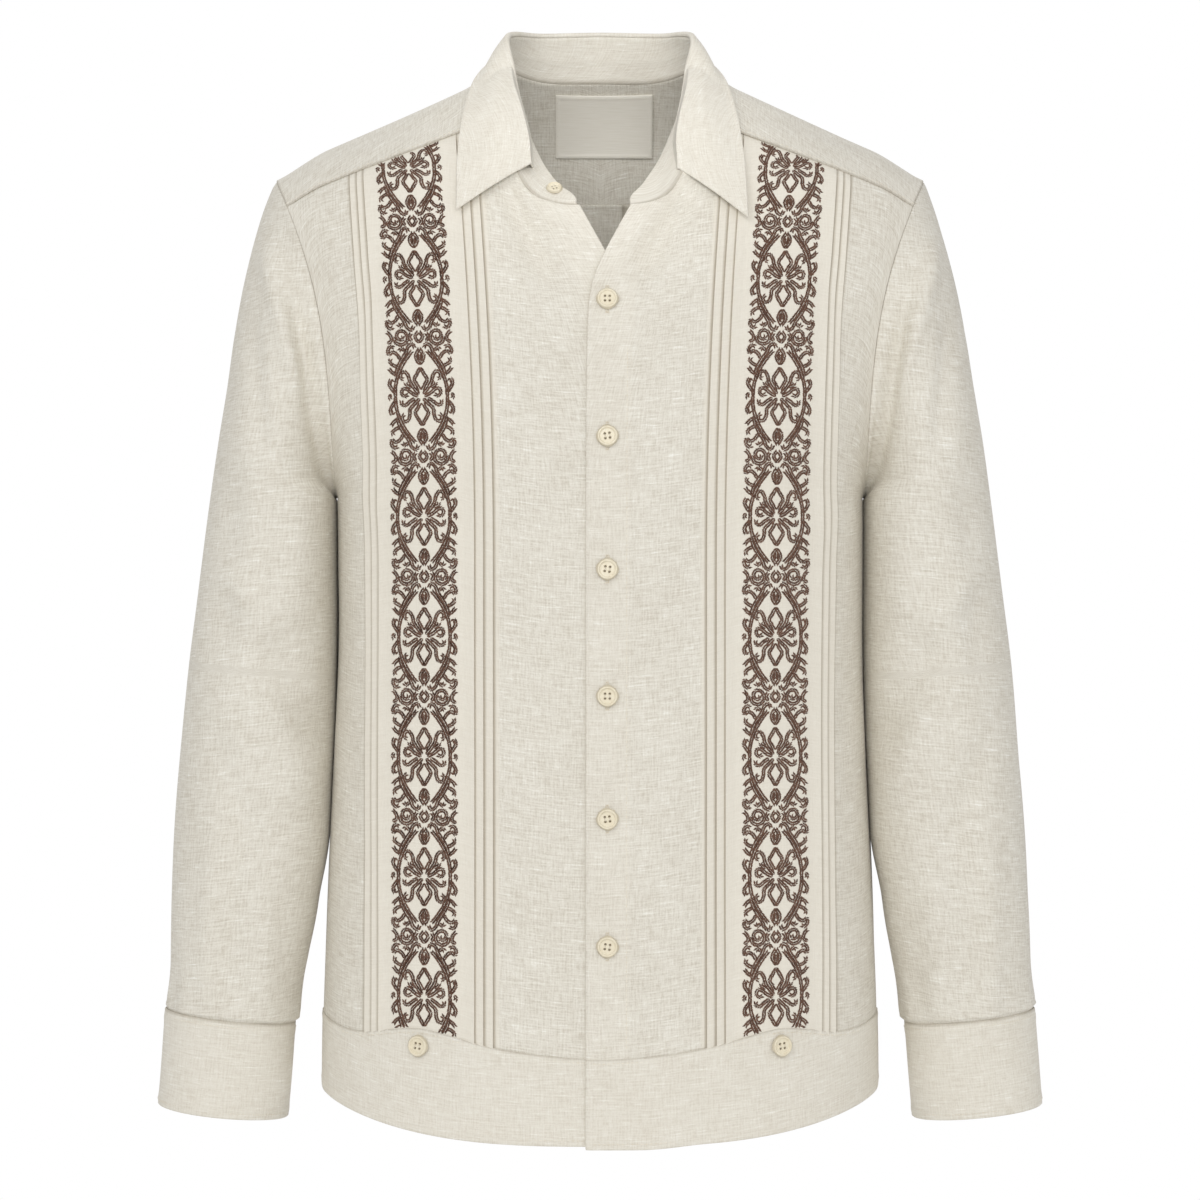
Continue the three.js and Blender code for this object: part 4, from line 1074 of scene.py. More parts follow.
def buildSleeve(side):
    # t round the arm, v along it: 0 at the armhole, 15 at the cuff
    t = np.linspace(0, 2 * math.pi, 103)[:-1, None]
    v = np.concatenate([[-4, -2.5, -1.0], np.linspace(0, 1, 16)[:-1], np.linspace(1, 14, 130)[:-1],
                        np.linspace(14, 15, 26), [16, 18, 20]])[None, :]
    point = sleeveMiddle(t, v)
    lift = sleeveLift(side, t, v, point)
    # painted shade at the armhole seam and at the seam into the cuff
    crease = 0.5 * (1 - ease((v - 0.02) / 0.12)) + 0.5 * ease((v - 14.9) / 0.1)
    # threads run round and along the arm: u is the angle about its axis times the mean radius
    axis = np.interp(point[..., 2], sleeveAxis["z"], sleeveAxis["x"])
    around = np.unwrap(np.arctan2(point[..., 1] + 8, axis - point[..., 0]), axis=0)
    along = point[..., 2] + 0.1 * point[..., 0]
    uv = np.stack([around * sleeve["radius"], along], -1) * 0.001 + [1.7 + side * 0.4, 3]
    point[..., 0] *= side
    hand = handOf(side)
    piece = addShell("sleeve" + hand, point, uv, lift=lift, closed=True, flip=side > 0,
                     marks={"crease": crease + 0 * t})
    dress(piece, linen, ["sleeve_" + hand.lower()])


def cuffMiddle(u, v):
    # a spiral that grows enough in one turn for the end to lap over the start
    return sectionPoint(cuffRows, v, u + math.radians(cuff["start"]), cuff["grow"] * u / (2 * math.pi))


def buildCuff(side):
    # u round the wrist in radians, v from the sleeve to the free edge
    u = np.linspace(0, 2 * math.pi + math.radians(cuff["lap"]), 112)[:, None]
    v = np.unique(np.concatenate([np.linspace(0, 2, 34), [0.02, 0.05, 0.09, 1.91, 1.95, 1.98]]))[None, :]
    point = cuffMiddle(u, v)
    roll = 0.35 * np.exp(-((v - 0.16) / 0.08)**2) + 0.3 * np.exp(-((v - 1.86) / 0.08)**2)
    wave = 0.35 * np.sin(3 * u + side) * np.sin(v * 1.4 + side)
    uv = arcUv(point) + [4.1 + side * 0.3, 0.2]
    point[..., 0] *= side
    hand = handOf(side)
    # painted shade along the seam with the sleeve
    piece = addShell("cuff" + hand, point, uv, thick=cuff["thick"], lift=cuff["lift"] + wave, rise=roll,
                     flip=side > 0, marks={"crease": 0.3 * (1 - ease(v / 0.05)) + 0 * u})
    dress(piece, doubledLinen, ["cuff_" + hand.lower()])


for side in (-1, 1):
    buildSleeve(side)
    buildCuff(side)
print("sleeves and cuffs made")

# hem bands
hemBand = {
    "thick": 1.3, "lift": 0.45,
    "hangs": 2.0,  # how far the over front's band hangs below the under front's
    "ringZ": -640.0,  # the bands hang straight down from the body's ring here
}


def bandWave(a, v):
    # slow waves and a soft ridge along each edge
    upper = 0.35 * np.exp(-((v - 0.93) / 0.04)**2)
    lower = 0.3 * np.exp(-((v - 0.06) / 0.04)**2)
    return ripple(a, 60 * v, 1.9, 0.3) + upper + lower


bandSteps = np.unique(np.concatenate([np.linspace(0, 1, 30), [0.01, 0.03, 0.97, 0.99]]))[None, :]


def bandFrontPoint(side, x, v):
    # x out from the centre line at the band's ring, v from the hem to the seam
    a = ringAngle(np.abs(x), np.full(np.shape(x), hemBand["ringZ"]), False) * np.sign(x)
    point = ringPoint(a, mix(hemZ(x), bandTopZ(x) + 0.2, v))
    if side > 0:
        fade = 1 - ease((x - front["lapFrom"]) / front["lapOver"])
        point[..., 1] -= front["lap"] * fade
        point[..., 2] -= (1 - v) * hemBand["hangs"] * fade
    return point


def buildFrontBand(side):
    edge = front["overEdge"] if side > 0 else front["underEnd"]
    start = edge * side
    reach = float(halfWidth(np.array(hemBand["ringZ"]), np.array(False)))
    share = np.concatenate([np.linspace(0, 0.9, 90)[:-1], np.linspace(0.9, 1, 24)])
    x = (start + (reach - 0.001 - start) * share)[:, None]
    v = bandSteps
    point = bandFrontPoint(side, x, v)
    lift = hemBand["lift"] + bandWave(x, v) - 0.5 * ease((share[:, None] - 0.975) / 0.025)
    uv = arcUv(point) + [5.2 + side * 0.5, 0.1]
    point[..., 0] *= side
    hand = handOf(side)
    # painted shade along the seam at the band's top
    piece = addShell("hemBand" + hand, point, uv, thick=hemBand["thick"], lift=lift, flip=side < 0,
                     marks={"crease": 0.25 * ease((v - 0.985) / 0.015) + 0 * x})
    dress(piece, doubledLinen, ["hem_band_" + hand.lower()])


def buildBackBand():
    share = np.linspace(0, 1, 160)[:, None]
    a = mix(math.pi / 2 - 0.002, 3 * math.pi / 2 + 0.002, share)
    x = ringPoint(a, np.full(a.shape, hemBand["ringZ"]))[..., 0]
    point = ringPoint(a, mix(hemZ(x), backBandZ(x) + 0.2, bandSteps))
    ends = 1 - ease(np.minimum(share, 1 - share) / 0.02)
    lift = hemBand["lift"] + bandWave(x, bandSteps) + 0.5 * ends
    # painted shade along the seam at the band's top
    crease = 0.25 * ease((bandSteps - 0.985) / 0.015) + 0 * x
    piece = addShell("hemBandBack", point, arcUv(point) + [6.3, 0.1], thick=hemBand["thick"], lift=lift,
                     marks={"crease": crease})
    dress(piece, doubledLinen, ["hem_band_back"])


for side in (-1, 1):
    buildFrontBand(side)
buildBackBand()
print("hem bands made")

# collar
# top edge of the stand: the point at each number of degrees from the centre back
rollRows = {
    "turn": [0, 40, 69, 87, 100, 115, 125, 137, 146, 156, 170],
    "x": [0, 42, 61, 64.5, 63.5, 58, 50.5, 41.5, 34.5, 26.5, 14],
    "y": [45, 33, 6, -14, -26, -36, -46, -58.5, -68, -77, -85],
    "z": [58.5, 55.5, 51.5, 43.5, 29, 4, -19, -41, -53.5, -63, -67],
}
# outer edge of the leaf, laid on the body: across and down the cloth, at shares of half its length
leafRows = {
    "at": [-0.11, 0, 0.11, 0.22, 0.36, 0.48, 0.62, 0.8, 1],
    "x": [-22, 0, 22, 43, 63, 72.5, 84.8, 94.2, 95.5],
    "q": [82.5, 88, 82.5, 67, 42, 4, -38, -92, -141],
}
# where two values are given, the first is for the right end and the second for the left
stand = {
    "thick": 1.4, "foot": 0.6, "area": 0.013,
    "ends": (167.5, 164), "knees": (148, 147),  # degrees from the centre back; closer columns past the knees
    "endSteps": (36, 34), "endHeight": 0.3, "endRound": 17,
}
leaf = {
    "lift": 3.4, "thick": 1.5, "seat": 1.4, "foldUp": 1.7, "foldOut": 3.0, "bulge": 0.8, "area": 0.0235,
    "ends": (143.3, 144), "endLift": 4.4,
    "drop": (11.5, 19),  # how far below the stand's top edge the fold has come at the two front ends
}
# waves of the leaf, in its own u and v
leafFolds = [
    {"a0": -0.86, "b0": 1.2, "a1": -0.72, "b1": 1.95, "width": 0.05, "height": 0.9},
    {"a0": 0.84, "b0": 1.15, "a1": 0.9, "b1": 1.9, "width": 0.05, "height": 0.7},
    {"a0": -0.5, "b0": 1.1, "a1": -0.42, "b1": 1.9, "width": 0.06, "height": -0.8},
    {"a0": 0.46, "b0": 1.1, "a1": 0.52, "b1": 1.9, "width": 0.06, "height": -0.7},
]


def rollPoint(n):
    # top edge of the stand, where the leaf folds over, n from the centre back
    x, y, z = (readTable(rollRows, "turn", key, np.degrees(np.abs(n))) for key in "xyz")
    return np.stack([np.sign(n) * x, y, z], -1)


def standPoint(n, v):
    # straight from the neckline to the roll line, rounded down to a third of its height at the ends
    end = np.radians(np.where(n < 0, stand["ends"][0], stand["ends"][1]))
    left = np.clip((end - np.abs(n)) / math.radians(stand["endRound"]), 0, 1)
    foot = neckPoint(n)
    way = rollPoint(n) - foot
    length = np.linalg.norm(way, axis=-1)
    height = length * mix(stand["endHeight"], 1, np.sqrt(1 - (1 - left)**2))
    return foot + way / length[..., None] * mix(stand["foot"], height, v)[..., None]


def buildStand():
    # closer columns round the two front ends
    right, left = (np.radians(np.concatenate([np.linspace(0, knee, 76), np.linspace(knee, end, steps)[1:]]))
                   for knee, end, steps in zip(stand["knees"], stand["ends"], stand["endSteps"]))
    n = np.concatenate([-right[:0:-1], left])[:, None]
    v = np.linspace(0, 1, 18)[None, :]
    point = standPoint(n, v)
    lift = 0.3 * np.sin(5 * n) * np.sin(3 * v) + 0.25 * np.exp(-((v - 0.5) / 0.1)**2)
    # painted shade along its foot at the neck seam
    piece = addShell("collarStand", point, arcUv(point) + [7.4, 0.1], thick=stand["thick"], lift=lift,
                     marks={"crease": 0.4 * (1 - ease(v / 0.12)) + 0 * n})
    dress(piece, doubledLinen, ["collar_stand"])


def liftOffBody(point, lift):
    # moves points out, away from the shoulder line, until they stand at least lift off the body
    for _ in range(3):
        x, y, z = (point[..., k] for k in range(3))
        behind = y > 0
        gradX = bodyY(x + 0.5, z, behind) - bodyY(x - 0.5, z, behind)
        gradZ = bodyY(x, z + 0.5, behind) - bodyY(x, z - 0.5, behind)
        size = np.sqrt(1 + gradX * gradX + gradZ * gradZ)
        off = (np.abs(y) - bodyY(x, z, behind)) / size
        need = np.maximum(0, lift - off) * ease((ridgeZ(x) - 6 - z) / 12)
        move = np.stack([-gradX / size, np.where(behind, 1, -1) / size, -gradZ / size], -1)
        point = point + move * need[..., None]
    return point


def leafPoint(u, v):
    # v 0 to 1 climbs over the fold in a half turn, 1 to 2 falls straight to the outer edge with a bulge
    s = np.abs(u)
    side = np.where(u < 0, -1.0, 1.0)
    n = np.radians(np.where(u < 0, leaf["ends"][0], leaf["ends"][1])) * u
    n = np.where(np.abs(u) < 1e-6, 1e-6, n)
    start = rollPoint(n)
    way = unit(start - neckPoint(n))
    along = unit(rollPoint(n + 0.01) - rollPoint(n - 0.01))
    out = unit(np.cross(way, along))
    way = unit(np.cross(along, out))
    # the fold is tighter and comes down from the stand's edge towards its ends
    halfTurn = np.minimum(v, 1) * math.pi
    tight = 1 - 0.65 * ease((s - 0.86) / 0.14)
    drop = np.where(u < 0, leaf["drop"][0], leaf["drop"][1]) * np.maximum(0, (s - 0.72) / 0.28)**1.3
    rise = leaf["seat"] * tight + leaf["foldUp"] * tight * np.sin(halfTurn) - drop
    off = leaf["foldOut"] * tight / 2 * (1 - np.cos(halfTurn)) + 1.1 * ease(drop / 4)
    fold = start + way * rise[..., None] + out * off[..., None]
    wider = 1 + 0.028 * ease((u - 0.7) / 0.3)
    x = readTable(leafRows, "at", "x", s) * side * wider
    q = readTable(leafRows, "at", "q", s) * wider
    edge = shoulderPoint(x, q) + normalAt(shoulderPoint, x, q) * leaf["lift"]
    t = np.clip(v - 1, 0, 1)
    bulge = leaf["bulge"] * np.sin(math.pi * np.minimum(1, t * 1.5)) * (1 - ease((s - 0.75) / 0.2))
    flat = mix(fold, edge, t[..., None]) + out * bulge[..., None]
    lifted = liftOffBody(flat, leaf["lift"] * ease(t / 0.3))
    return np.where((v <= 1)[..., None], fold, lifted)


def buildLeaf():
    # u from the right point to the left, v over the fold and down to the outer edge
    half = np.concatenate([np.linspace(0, 0.9, 84)[:-1], np.linspace(0.9, 1, 22)])
    u = np.concatenate([-half[:0:-1], half])[:, None]
    v = np.concatenate([np.linspace(0, 1, 14)[:-1], np.linspace(1, 1.9, 42)[:-1], np.linspace(1.9, 2, 12)])
    u, v = np.broadcast_arrays(u, v[None, :])
    point = leafPoint(u, v)
    t = np.clip(v - 1, 0, 1)
    soft = (softFolds(leafFolds, u, v) + 0.22 * np.sin(7 * u + 1) * np.sin(4 * v)) * ease(t / 0.4)
    ends = leaf["endLift"] * ease((np.abs(u) - 0.84) / 0.16) * ease((t - 0.08) / 0.6) * (1 - 0.4 * t)
    lift = soft + 0.9 * ease((t - 0.75) / 0.25) + ends
    turned = 0.28 * ease((t - 0.9) / 0.03)
    piece = addShell("collarLeaf", point, arcUv(point, column=len(half)) + [8.6, 0.3], thick=leaf["thick"],
                     lift=lift, rise=turned)
    dress(piece, doubledLinen, ["collar_leaf"])


buildStand()
buildLeaf()
print("collar made")

# neck label, left blank
label = {"x": 2.9, "halfWidth": 34.8, "top": 19, "bottom": -22.8, "thick": 0.6, "off": 1.5, "border": 1.6}


def backAt(x, z):
    # the back without its folds
    return np.stack([x + 0 * z, bodyY(x, z, True), z + 0 * x], -1)


def buildLabel():
    # a flat strip laid on the back's inner side, with a raised border and a shaded line inside it
    u = np.linspace(-1, 1, 96)[:, None] * label["halfWidth"] + label["x"]
    z = np.linspace(label["top"], label["bottom"], 64)[None, :]
    u, z = np.broadcast_arrays(u, z)
    middle = backAt(u, z) + normalAt(backAt, u, z) * label["off"]
    inset = np.minimum(label["halfWidth"] - np.abs(u - label["x"]),
                       np.minimum(label["top"] - z, z - label["bottom"]))
    rise = 0.3 * np.exp(-((inset - label["border"]) / 0.7)**2)
    crease = 0.35 * np.exp(-((inset - label["border"] - 1.2) / 0.5)**2)
    uv = np.stack([u, z], -1) * 0.001
    piece = addShell("neckLabel", middle, uv, thick=label["thick"], rise=rise, flip=True,
                     marks={"crease": crease})
    dress(piece, labelSatin, ["neck_label"])


buildLabel()

# buttons
buttonPlaces = {
    "x": 4.9, "z": [-143, -234.5, -322.5, -406.5, -488, -572.5], "hemX": 120.6, "hemZ": -640.5,
    "standTurn": -153.6, "standShare": 0.66,  # round the neck and up the stand
}
buttonShape = {"base": 0.35, "floor": 0.58, "edge": 0.45}  # millimetres; floor and edge in thicknesses
frontButton = {"radius": 6.9, "thick": 2.6, "rim": 1.9, "hole": 0.85, "apart": 3.1}
smallButton = {"radius": 5.2, "thick": 2.2, "rim": 1.3, "hole": 0.62, "apart": 2.3}
grid = np.linspace(-1, 1, 43)


def addButton(name, node, size, centre, normal, turn):
    # dish with a raised rim and four holes, worked as heights over a disc, and its sewing thread
    normal = unit(normal)
    right = unit(np.cross([0, 0, 1.0], normal))
    up = np.cross(normal, right)
    rightTurned = math.cos(turn) * right + math.sin(turn) * up
    upTurned = -math.sin(turn) * right + math.cos(turn) * up

    def plane(p, q):
        return centre + p[..., None] * rightTurned + q[..., None] * upTurned

    a, b = np.meshgrid(grid, grid, indexing="ij")
    x = a * np.sqrt(1 - b * b / 2) * size["radius"]
    y = b * np.sqrt(1 - a * a / 2) * size["radius"]
    r = np.hypot(x, y)
    fromRim = size["radius"] - r
    base = buttonShape["base"]
    floor = buttonShape["floor"] * size["thick"]
    rim = (size["thick"] - floor) * (1 - ease((fromRim - size["rim"] * 0.7) / 0.7))
    rounded = buttonShape["edge"] * size["thick"] * (1 - ease(fromRim / 0.9))**2
    toHole = np.hypot(np.abs(x) - size["apart"] / 2, np.abs(y) - size["apart"] / 2)
    well = 1 - ease((toHole - size["hole"] * 0.62) / (size["hole"] * 0.5))
    rise = floor + rim - rounded - base - well * (floor - base - 0.1)
    uv = np.stack([x, y], -1) * 0.001
    # painted shade in the holes and along the rim's outer edge
    crease = 0.9 * well + 0.3 * (1 - ease(fromRim / 0.7))
    piece = addShell(name, plane(x, y) + normal * (base / 2), uv, thick=base, rise=rise,
                     marks={"crease": crease})
    dress(piece, buttonPlastic, [node])
    # two threads through each pair of holes
    runs = [{"a": np.array([side * size["apart"] / 2 + shift] * 3), "b": np.array([-0.36, 0, 0.36]),
             "turn": math.pi / 2, "length": size["apart"] * 0.42, "width": 0.16, "height": floor + 0.1,
             "bulge": 0.2}
            for side in (-1, 1) for shift in (-0.18, 0.14)]
    thread = addStitches(name + "Thread", plane, runs)
    dress(thread, creamThread)


def seat(surface, a, b, height):
    # centre that far off the cloth, and the cloth's normal there
    a = np.array(float(a))
    b = np.array(float(b))
    normal = normalAt(surface, a, b)
    return surface(a, b) + normal * height, normal


for i, z in enumerate(buttonPlaces["z"]):
    height = 1.35 + float(frontLift(1, np.array(buttonPlaces["x"]), np.array(z)))
    centre, normal = seat(frontSurface(1), buttonPlaces["x"], z, height)
    addButton(f"buttonFront{i + 1}", f"button_front_{i + 1}", frontButton, centre, normal,
              0.16 * math.sin(2.1 * i))
for side in (-1, 1):
    hand = handOf(side)
    mirror = np.array([side, 1, 1])
    centre, normal = seat(frontSurface(1), buttonPlaces["hemX"], buttonPlaces["hemZ"], 1.75)
    addButton("buttonHem" + hand, "button_hem_" + hand.lower(), frontButton, centre * mirror, normal * mirror,
              0.12 * side)
    # on the middle of the cuff's lap; the cuff's normal points in
    lapMiddle = 2 * math.pi + math.radians(cuff["lap"] * 0.45)
    centre, normal = seat(cuffMiddle, lapMiddle, 1.0, -1.5)
    addButton("buttonCuff" + hand, "button_cuff_" + hand.lower(), smallButton, centre * mirror,
              -normal * mirror, 0.3)
centre, normal = seat(standPoint, math.radians(buttonPlaces["standTurn"]), buttonPlaces["standShare"], 0)
forward = normal * (-1 if normal[1] > 0 else 1)
addButton("buttonStand", "button_stand", smallButton, centre + forward * 0.95, forward, 0.4)
print("buttons made")

# embroidered bands
# One repeat of a traditional scroll and lozenge border, charted for half its width:
# a out from the band's middle, b up from the rosette's middle, both in millimetres.
band = {
    "middle": 117.2, "repeat": 80.2, "firstZ": -608,
    "spacing": 1.0, "spread": 0.72, "slant": 0.62, "length": 1.36, "width": 0.54, "bulge": 0.52,
    "height": 0.5, "uneven": 0.07,
    "inset": 1.4,  # how far from the seams the first and last stitches lie
}


def upAndDown(points):
    # a line and its mirror image below the rosette's middle
    return [points, [(a, -b) for a, b in points]]


curves = [
    # rosette: open lozenges above and below, horns, curls and side hooks
    [(0, 19.2), (2.2, 15.4), (4.3, 11.4), (2.6, 7.8), (0.9, 4.6)],
    [(0, -19.2), (2.4, -15.2), (4.4, -11), (2.4, -7.4), (0.9, -4.2)],
    [(1.4, 1.8), (4.6, 5.4), (7.2, 9.6), (8.2, 13.6), (10.4, 16.6), (13, 15.8), (13.4, 12.6), (11.2, 11.6)],
    [(1.4, -1.6), (4.8, -5), (7.8, -8.2), (8.2, -12.4), (9.6, -15.8), (12.4, -16.4), (13.6, -13.6),
     (11.8, -11.8)],
    [(2.4, 0.2), (6.2, 2.2), (9.4, 4.8), (12.2, 5.2), (13.2, 2.4), (11.4, 0.4), (9.2, 1.2)],
    [(4.6, -1.2), (8, -3.4), (10.8, -5.6), (13.4, -5), (13.6, -2.2)],
    [(7, 6), (9.6, 7.6), (10.2, 9.4)],
    # pointed oval round it
    *upAndDown([(17.6, 0), (17.5, 5.4), (16.4, 11), (14.4, 16.6), (11.4, 22.2), (8, 27), (5.2, 30.4)]),
    *upAndDown([(17, 13.8), (15.4, 19.4), (12.6, 24.6), (9.4, 29.4), (7.6, 33.6), (4.6, 35.4), (3.2, 32.8)]),
    # buds on the centre line
    *upAndDown([(0, 21.6), (2.2, 25), (2.4, 28.2), (0, 32)]),
    *upAndDown([(0, 24.6), (0, 28.4)]),
    # small diamond between two rosettes
    [(0, 36.2), (2.5, 40.1), (0, 44)],
    # twigs and curls from the oval to the edge
    *upAndDown([(17.8, 3), (19.8, 5.4), (21.4, 8.6), (20.4, 11.4), (18.8, 9.6)]),
    [(20.6, 1.8), (21.6, -0.2), (20.6, -2)],
    *upAndDown([(17, 15), (19.4, 16.8), (21.4, 19.4)]),
    *upAndDown([(15.8, 20.4), (18.2, 21.4), (20.4, 23.4), (20, 25.8)]),
    *upAndDown([(13.4, 25.4), (15.4, 28.6), (18.4, 30.2), (21, 28.8), (21.4, 31.8), (19.4, 34), (17, 33)]),
    *upAndDown([(10.4, 30.8), (12.2, 32.6), (14, 31)]),
    [(21.4, 36.4), (19.2, 37.6), (18.8, 40.1), (20.2, 42.6), (21.6, 43.8)],
    [(5, 37.4), (6.4, 40.1), (5, 42.8)],
    # roundel beside the diamond, a coil of one and a half turns
    [(17, 40.1), (15.6, 36.4), (11.8, 35), (8.4, 37), (7.8, 40.6), (9.8, 43.8), (13.2, 44.2), (15, 41.6),
     (13.8, 38.8), (11.2, 38.6), (10.6, 40.8)],
]


def curveThrough(points):
    # smooth line through charted points, every 0.3 mm or so
    p = np.array(points, float)
    if len(p) == 2:
        return p
    p = np.concatenate([[2 * p[0] - p[1]], p, [2 * p[-1] - p[-2]]])
    t = np.linspace(0, 1, 12, endpoint=False)[:, None]
    parts = []
    for k in range(1, len(p) - 2):
        a, b, c, d = p[k - 1:k + 3]
        parts.append(0.5 * (2 * b + (c - a) * t + (2 * a - 5 * b + 4 * c - d) * t**2
                            + (3 * b - a - 3 * c + d) * t**3))
    return np.concatenate(parts + [p[-2:-1]])


def heightTable():
    # length up the cloth along the band's middle line, nothing at the first rosette
    z = np.linspace(-690, -30, 1400)
    x = band["middle"] + leanAt(z)
    y = -bodyY(x, z, False)
    run = np.concatenate([[0], np.cumsum(np.sqrt(np.diff(z)**2 + np.diff(y)**2 + np.diff(x)**2))])
    return run - np.interp(band["firstZ"], z, run), z


upRun, upZ = heightTable()


def bandSurface(side):
    # a out from the band's middle line, b up the cloth
    def at(a, b):
        z = np.interp(b, upRun, upZ)
        x = band["middle"] + a + leanAt(z)
        return np.stack([side * x, -bodyY(x, z, False) - lapLift(side, x), z], -1)
    return at


def stitchChart():
    # two slanted stitches at each step of every line: where, which way, within one repeat
    rows = []
    for points in curves:
        line = curveThrough(points)
        a, b, turn = evenly(line[:, 0], line[:, 1], band["spacing"])
        for way in (-1, 1):
            off = way * band["spread"]
            rows.append(np.stack([a - off * np.sin(turn), b + off * np.cos(turn),
                                  turn + way * band["slant"]], -1))
    half = np.concatenate(rows)
    other = np.stack([-half[:, 0], half[:, 1], math.pi - half[:, 2]], -1)
    return np.concatenate([half, other[np.abs(half[:, 0]) > 0.3]])


def embroider(side):
    # the chart repeated up the front, each stitch a little off its place, kept between the seams
    chart = stitchChart()
    rng = np.random.default_rng(11 + side)
    runs = []
    for k in range(-1, 9):
        part = chart + rng.normal(0, band["uneven"], chart.shape) * [1, 1, 0.8]
        runs.append(part + [0, k * band["repeat"], 0])
    a, b, turn = np.concatenate(runs).T
    z = np.interp(b, upRun, upZ)
    x = band["middle"] + a + leanAt(z)
    kept = (z > bandTopZ(x) + band["inset"]) & (z < frontTopZ(x) - band["inset"])
    a, b, turn, x, z = a[kept], b[kept], turn[kept], x[kept], z[kept]
    size = rng.uniform(0.86, 1.12, len(a))
    run = {"a": a, "b": b, "turn": turn, "length": band["length"] * size, "width": band["width"],
           "height": band["height"] + frontLift(side, x, z), "bulge": band["bulge"] * size}
    dress(addStitches("embroidery" + handOf(side), bandSurface(side), [run], side, 5), brownThread)


for side in (-1, 1):
    embroider(side)
print("bands embroidered")

# seams, buttonholes and the label's edge, in cream thread

def cuffSurface(side):
    # millimetres round the cuff and down it
    def at(a, b):
        return cuffMiddle(a / cuff["round"], b / cuff["tall"]) * [side, 1, 1]
    return at


def buttonholeRuns():
    # close zigzag bars either side of a slit, and a bar across each end
    runs = []
    x = buttonPlaces["x"]
    for z in buttonPlaces["z"]:
        b = z + np.arange(-8.6, 8.61, 0.42)
        for way in (-1, 1):
            runs.append({"a": x + way * 0.75 + 0 * b, "b": b, "turn": 0.0, "length": 0.62, "width": 0.2,
                         "height": 0.8 + frontLift(1, np.array(x), b), "bulge": 0.3})
        a = x + np.arange(-1.1, 1.2, 0.4)
        for end in (-9, 9):
            b = z + end + 0 * a
            runs.append({"a": a, "b": b, "turn": math.pi / 2, "length": 0.7, "width": 0.22,
                         "height": 0.8 + frontLift(1, np.array(x), b), "bulge": 0.35})
    return runs


def stitchYoke():
    height = yoke["over"] + body["thick"] / 2 + yoke["edge"]
    x = np.linspace(76, 214, 90)
    runs = [seamRun(side * x, frontSeamQ(x) + seam["yokeInset"], height) for side in (-1, 1)]
    x = np.linspace(-200, 200, 200)
    runs.append(seamRun(x, qAt(x, backSeamZ(x)) - seam["yokeInset"], height))
    dress(addStitches("yokeStitching", shoulderPoint, runs), creamThread)


def stitchFront(side):
    # along both edges of the hem band, down the facing and, on the over front, round the buttonholes
    onBand = hemBand["lift"] + hemBand["thick"] / 2
    x = np.linspace(front["overEdge"] + 4 if side > 0 else -front["underEnd"] + 4, 184, 160)
    hangs = hemBand["hangs"] if side > 0 else 0
    fade = 1 - ease((x - front["lapFrom"]) / front["lapOver"])
    runs = [seamRun(x, bandTopZ(x) - seam["hemInset"], onBand + 0.25),
            seamRun(x, hemZ(x) + 3.4 - hangs * fade, onBand + 0.2)]
    z = np.linspace(-640, -175, 160)
    row = seamRun(edgeX(side, z) * side + front["facing"] - seam["facingInset"], z, 0)
    row["height"] = body["thick"] / 2 + 0.3 + frontLift(side, row["a"], row["b"])
    runs.append(row)
    if side > 0:
        runs += buttonholeRuns()
    dress(addStitches("frontStitching" + handOf(side), frontSurface(side), runs, side), creamThread)


def stitchCuff(side):
    # level rows near the cuff's two edges
    u = np.linspace(0.05, 2 * math.pi + 0.3, 120)
    height = cuff["lift"] + cuff["thick"] / 2 + 0.2
    runs = [seamRun(u * cuff["round"], 0 * u + row * cuff["tall"], height) for row in (0.1, 1.9)]
    dress(addStitches("cuffStitching" + handOf(side), cuffSurface(side), runs, -side), creamThread)


def stitchLabel():
    inset = seam["labelInset"]
    x = np.linspace(-label["halfWidth"] + inset, label["halfWidth"] - inset, 60) + label["x"]
    z = np.linspace(label["bottom"] + inset, label["top"] - inset, 50)
    lines = [(x, 0 * x + z[0]), (x, 0 * x + z[-1]), (0 * z + x[0], z), (0 * z + x[-1], z)]
    runs = [seamRun(a, b, label["off"] + 0.35) for a, b in lines]
    dress(addStitches("labelStitching", backAt, runs), creamThread)


stitchYoke()
for side in (-1, 1):
    stitchFront(side)
    stitchCuff(side)
stitchLabel()
print("seams stitched")

# stage
studio = {
    "floorZ": -1.0, "floorRadius": 1.2, "world": 0.6,  # metres, and the white world's strength
    "cameraZ": -0.343, "distance": 2.2, "seen": 0.84,  # seen is the width of the picture at the shirt
    "lamps": [
        {"name": "keyLight", "at": (-1.25, -2.3, 1.15), "to": (0, 0, -0.3), "energy": 18, "size": 1.5},
        {"name": "fillLight", "at": (1.9, -1.7, 0.2), "to": (0, 0, -0.35), "energy": 5, "size": 1.8},
        {"name": "frontLight", "at": (0.25, -2.35, 0.1), "to": (0, 0, -0.3), "energy": 11, "size": 1.3},
        {"name": "backLight", "at": (-0.5, 2.2, 1.2), "to": (0, 0, -0.3), "energy": 15, "size": 1.6},
        # a soft beam into the neck
        {"name": "neckLight", "at": (0, -2.0, 0.3), "to": (0, 0.06, -0.015), "energy": 92, "beam": 5.6},
    ],
}


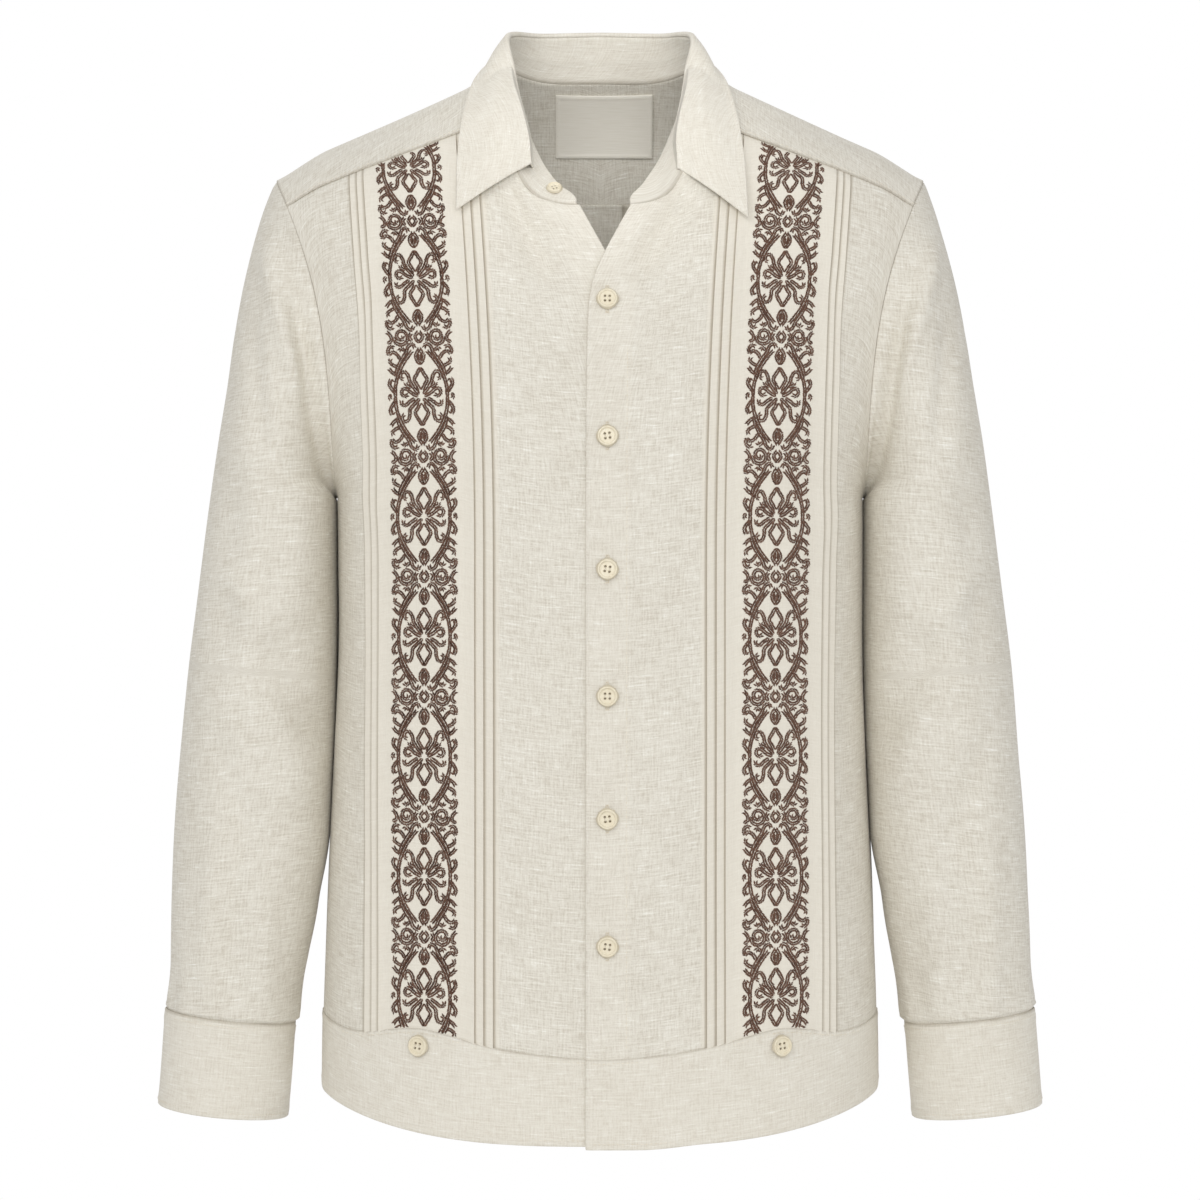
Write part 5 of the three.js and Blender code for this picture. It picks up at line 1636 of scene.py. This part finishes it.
def addLamp(row):
    # a round soft lamp, or a spot where the row gives a beam in degrees, turned to what it lights
    lamp = bpy.data.lights.new(row["name"], "SPOT" if "beam" in row else "AREA")
    lamp.energy = row["energy"]
    if "beam" in row:
        lamp.spot_size = math.radians(row["beam"])
        lamp.spot_blend = 1
        lamp.shadow_soft_size = 0.12
    else:
        lamp.shape = "DISK"
        lamp.size = row["size"]
    holder = bpy.data.objects.new(row["name"], lamp)
    holder.location = row["at"]
    way = np.array(row["to"]) - np.array(row["at"])
    flat = math.hypot(way[0], way[1])
    holder.rotation_euler = (math.atan2(flat, -way[2]), 0, math.atan2(-way[0], way[1]))
    bpy.context.scene.collection.objects.link(holder)


def setStage():
    bpy.ops.mesh.primitive_circle_add(vertices=128, radius=studio["floorRadius"], fill_type="NGON",
                                      location=(0, 0, studio["floorZ"]))
    floor = bpy.context.object
    floor.name = "floor"
    material, tree = newMaterial("paleFloor")
    # matt painted board
    shader = addNode(tree, "ShaderNodeBsdfPrincipled",
                     inputs={"Base Color": linear("#f7f6f4"), "Roughness": 0.8})
    addNode(tree, "ShaderNodeOutputMaterial", inputs={"Surface": (shader, 0)})
    floor.data.materials.append(material)
    scene = bpy.context.scene
    scene.view_settings.view_transform = "Standard"
    world = bpy.data.worlds.new("studioWhite")
    scene.world = world
    world.use_nodes = True
    tree = world.node_tree
    tree.nodes.clear()
    rays = addNode(tree, "ShaderNodeLightPath")
    strength = addNode(tree, "ShaderNodeMapRange", inputs={
        "Value": (rays, "Is Camera Ray"), "To Min": studio["world"], "To Max": 1.0})
    background = addNode(tree, "ShaderNodeBackground",
                         inputs={"Color": (1, 1, 1, 1), "Strength": (strength, 0)})
    addNode(tree, "ShaderNodeOutputWorld", inputs={"Surface": (background, 0)})
    for row in studio["lamps"]:
        addLamp(row)
    camera = bpy.data.cameras.new("camera")
    camera.sensor_fit = "HORIZONTAL"
    camera.angle = 2 * math.atan(studio["seen"] / 2 / studio["distance"])
    holder = bpy.data.objects.new("camera", camera)
    holder.location = (0, -studio["distance"], studio["cameraZ"])
    holder.rotation_euler = (math.pi / 2, 0, 0)
    scene.collection.objects.link(holder)
    scene.camera = holder


setStage()
print("stage set")
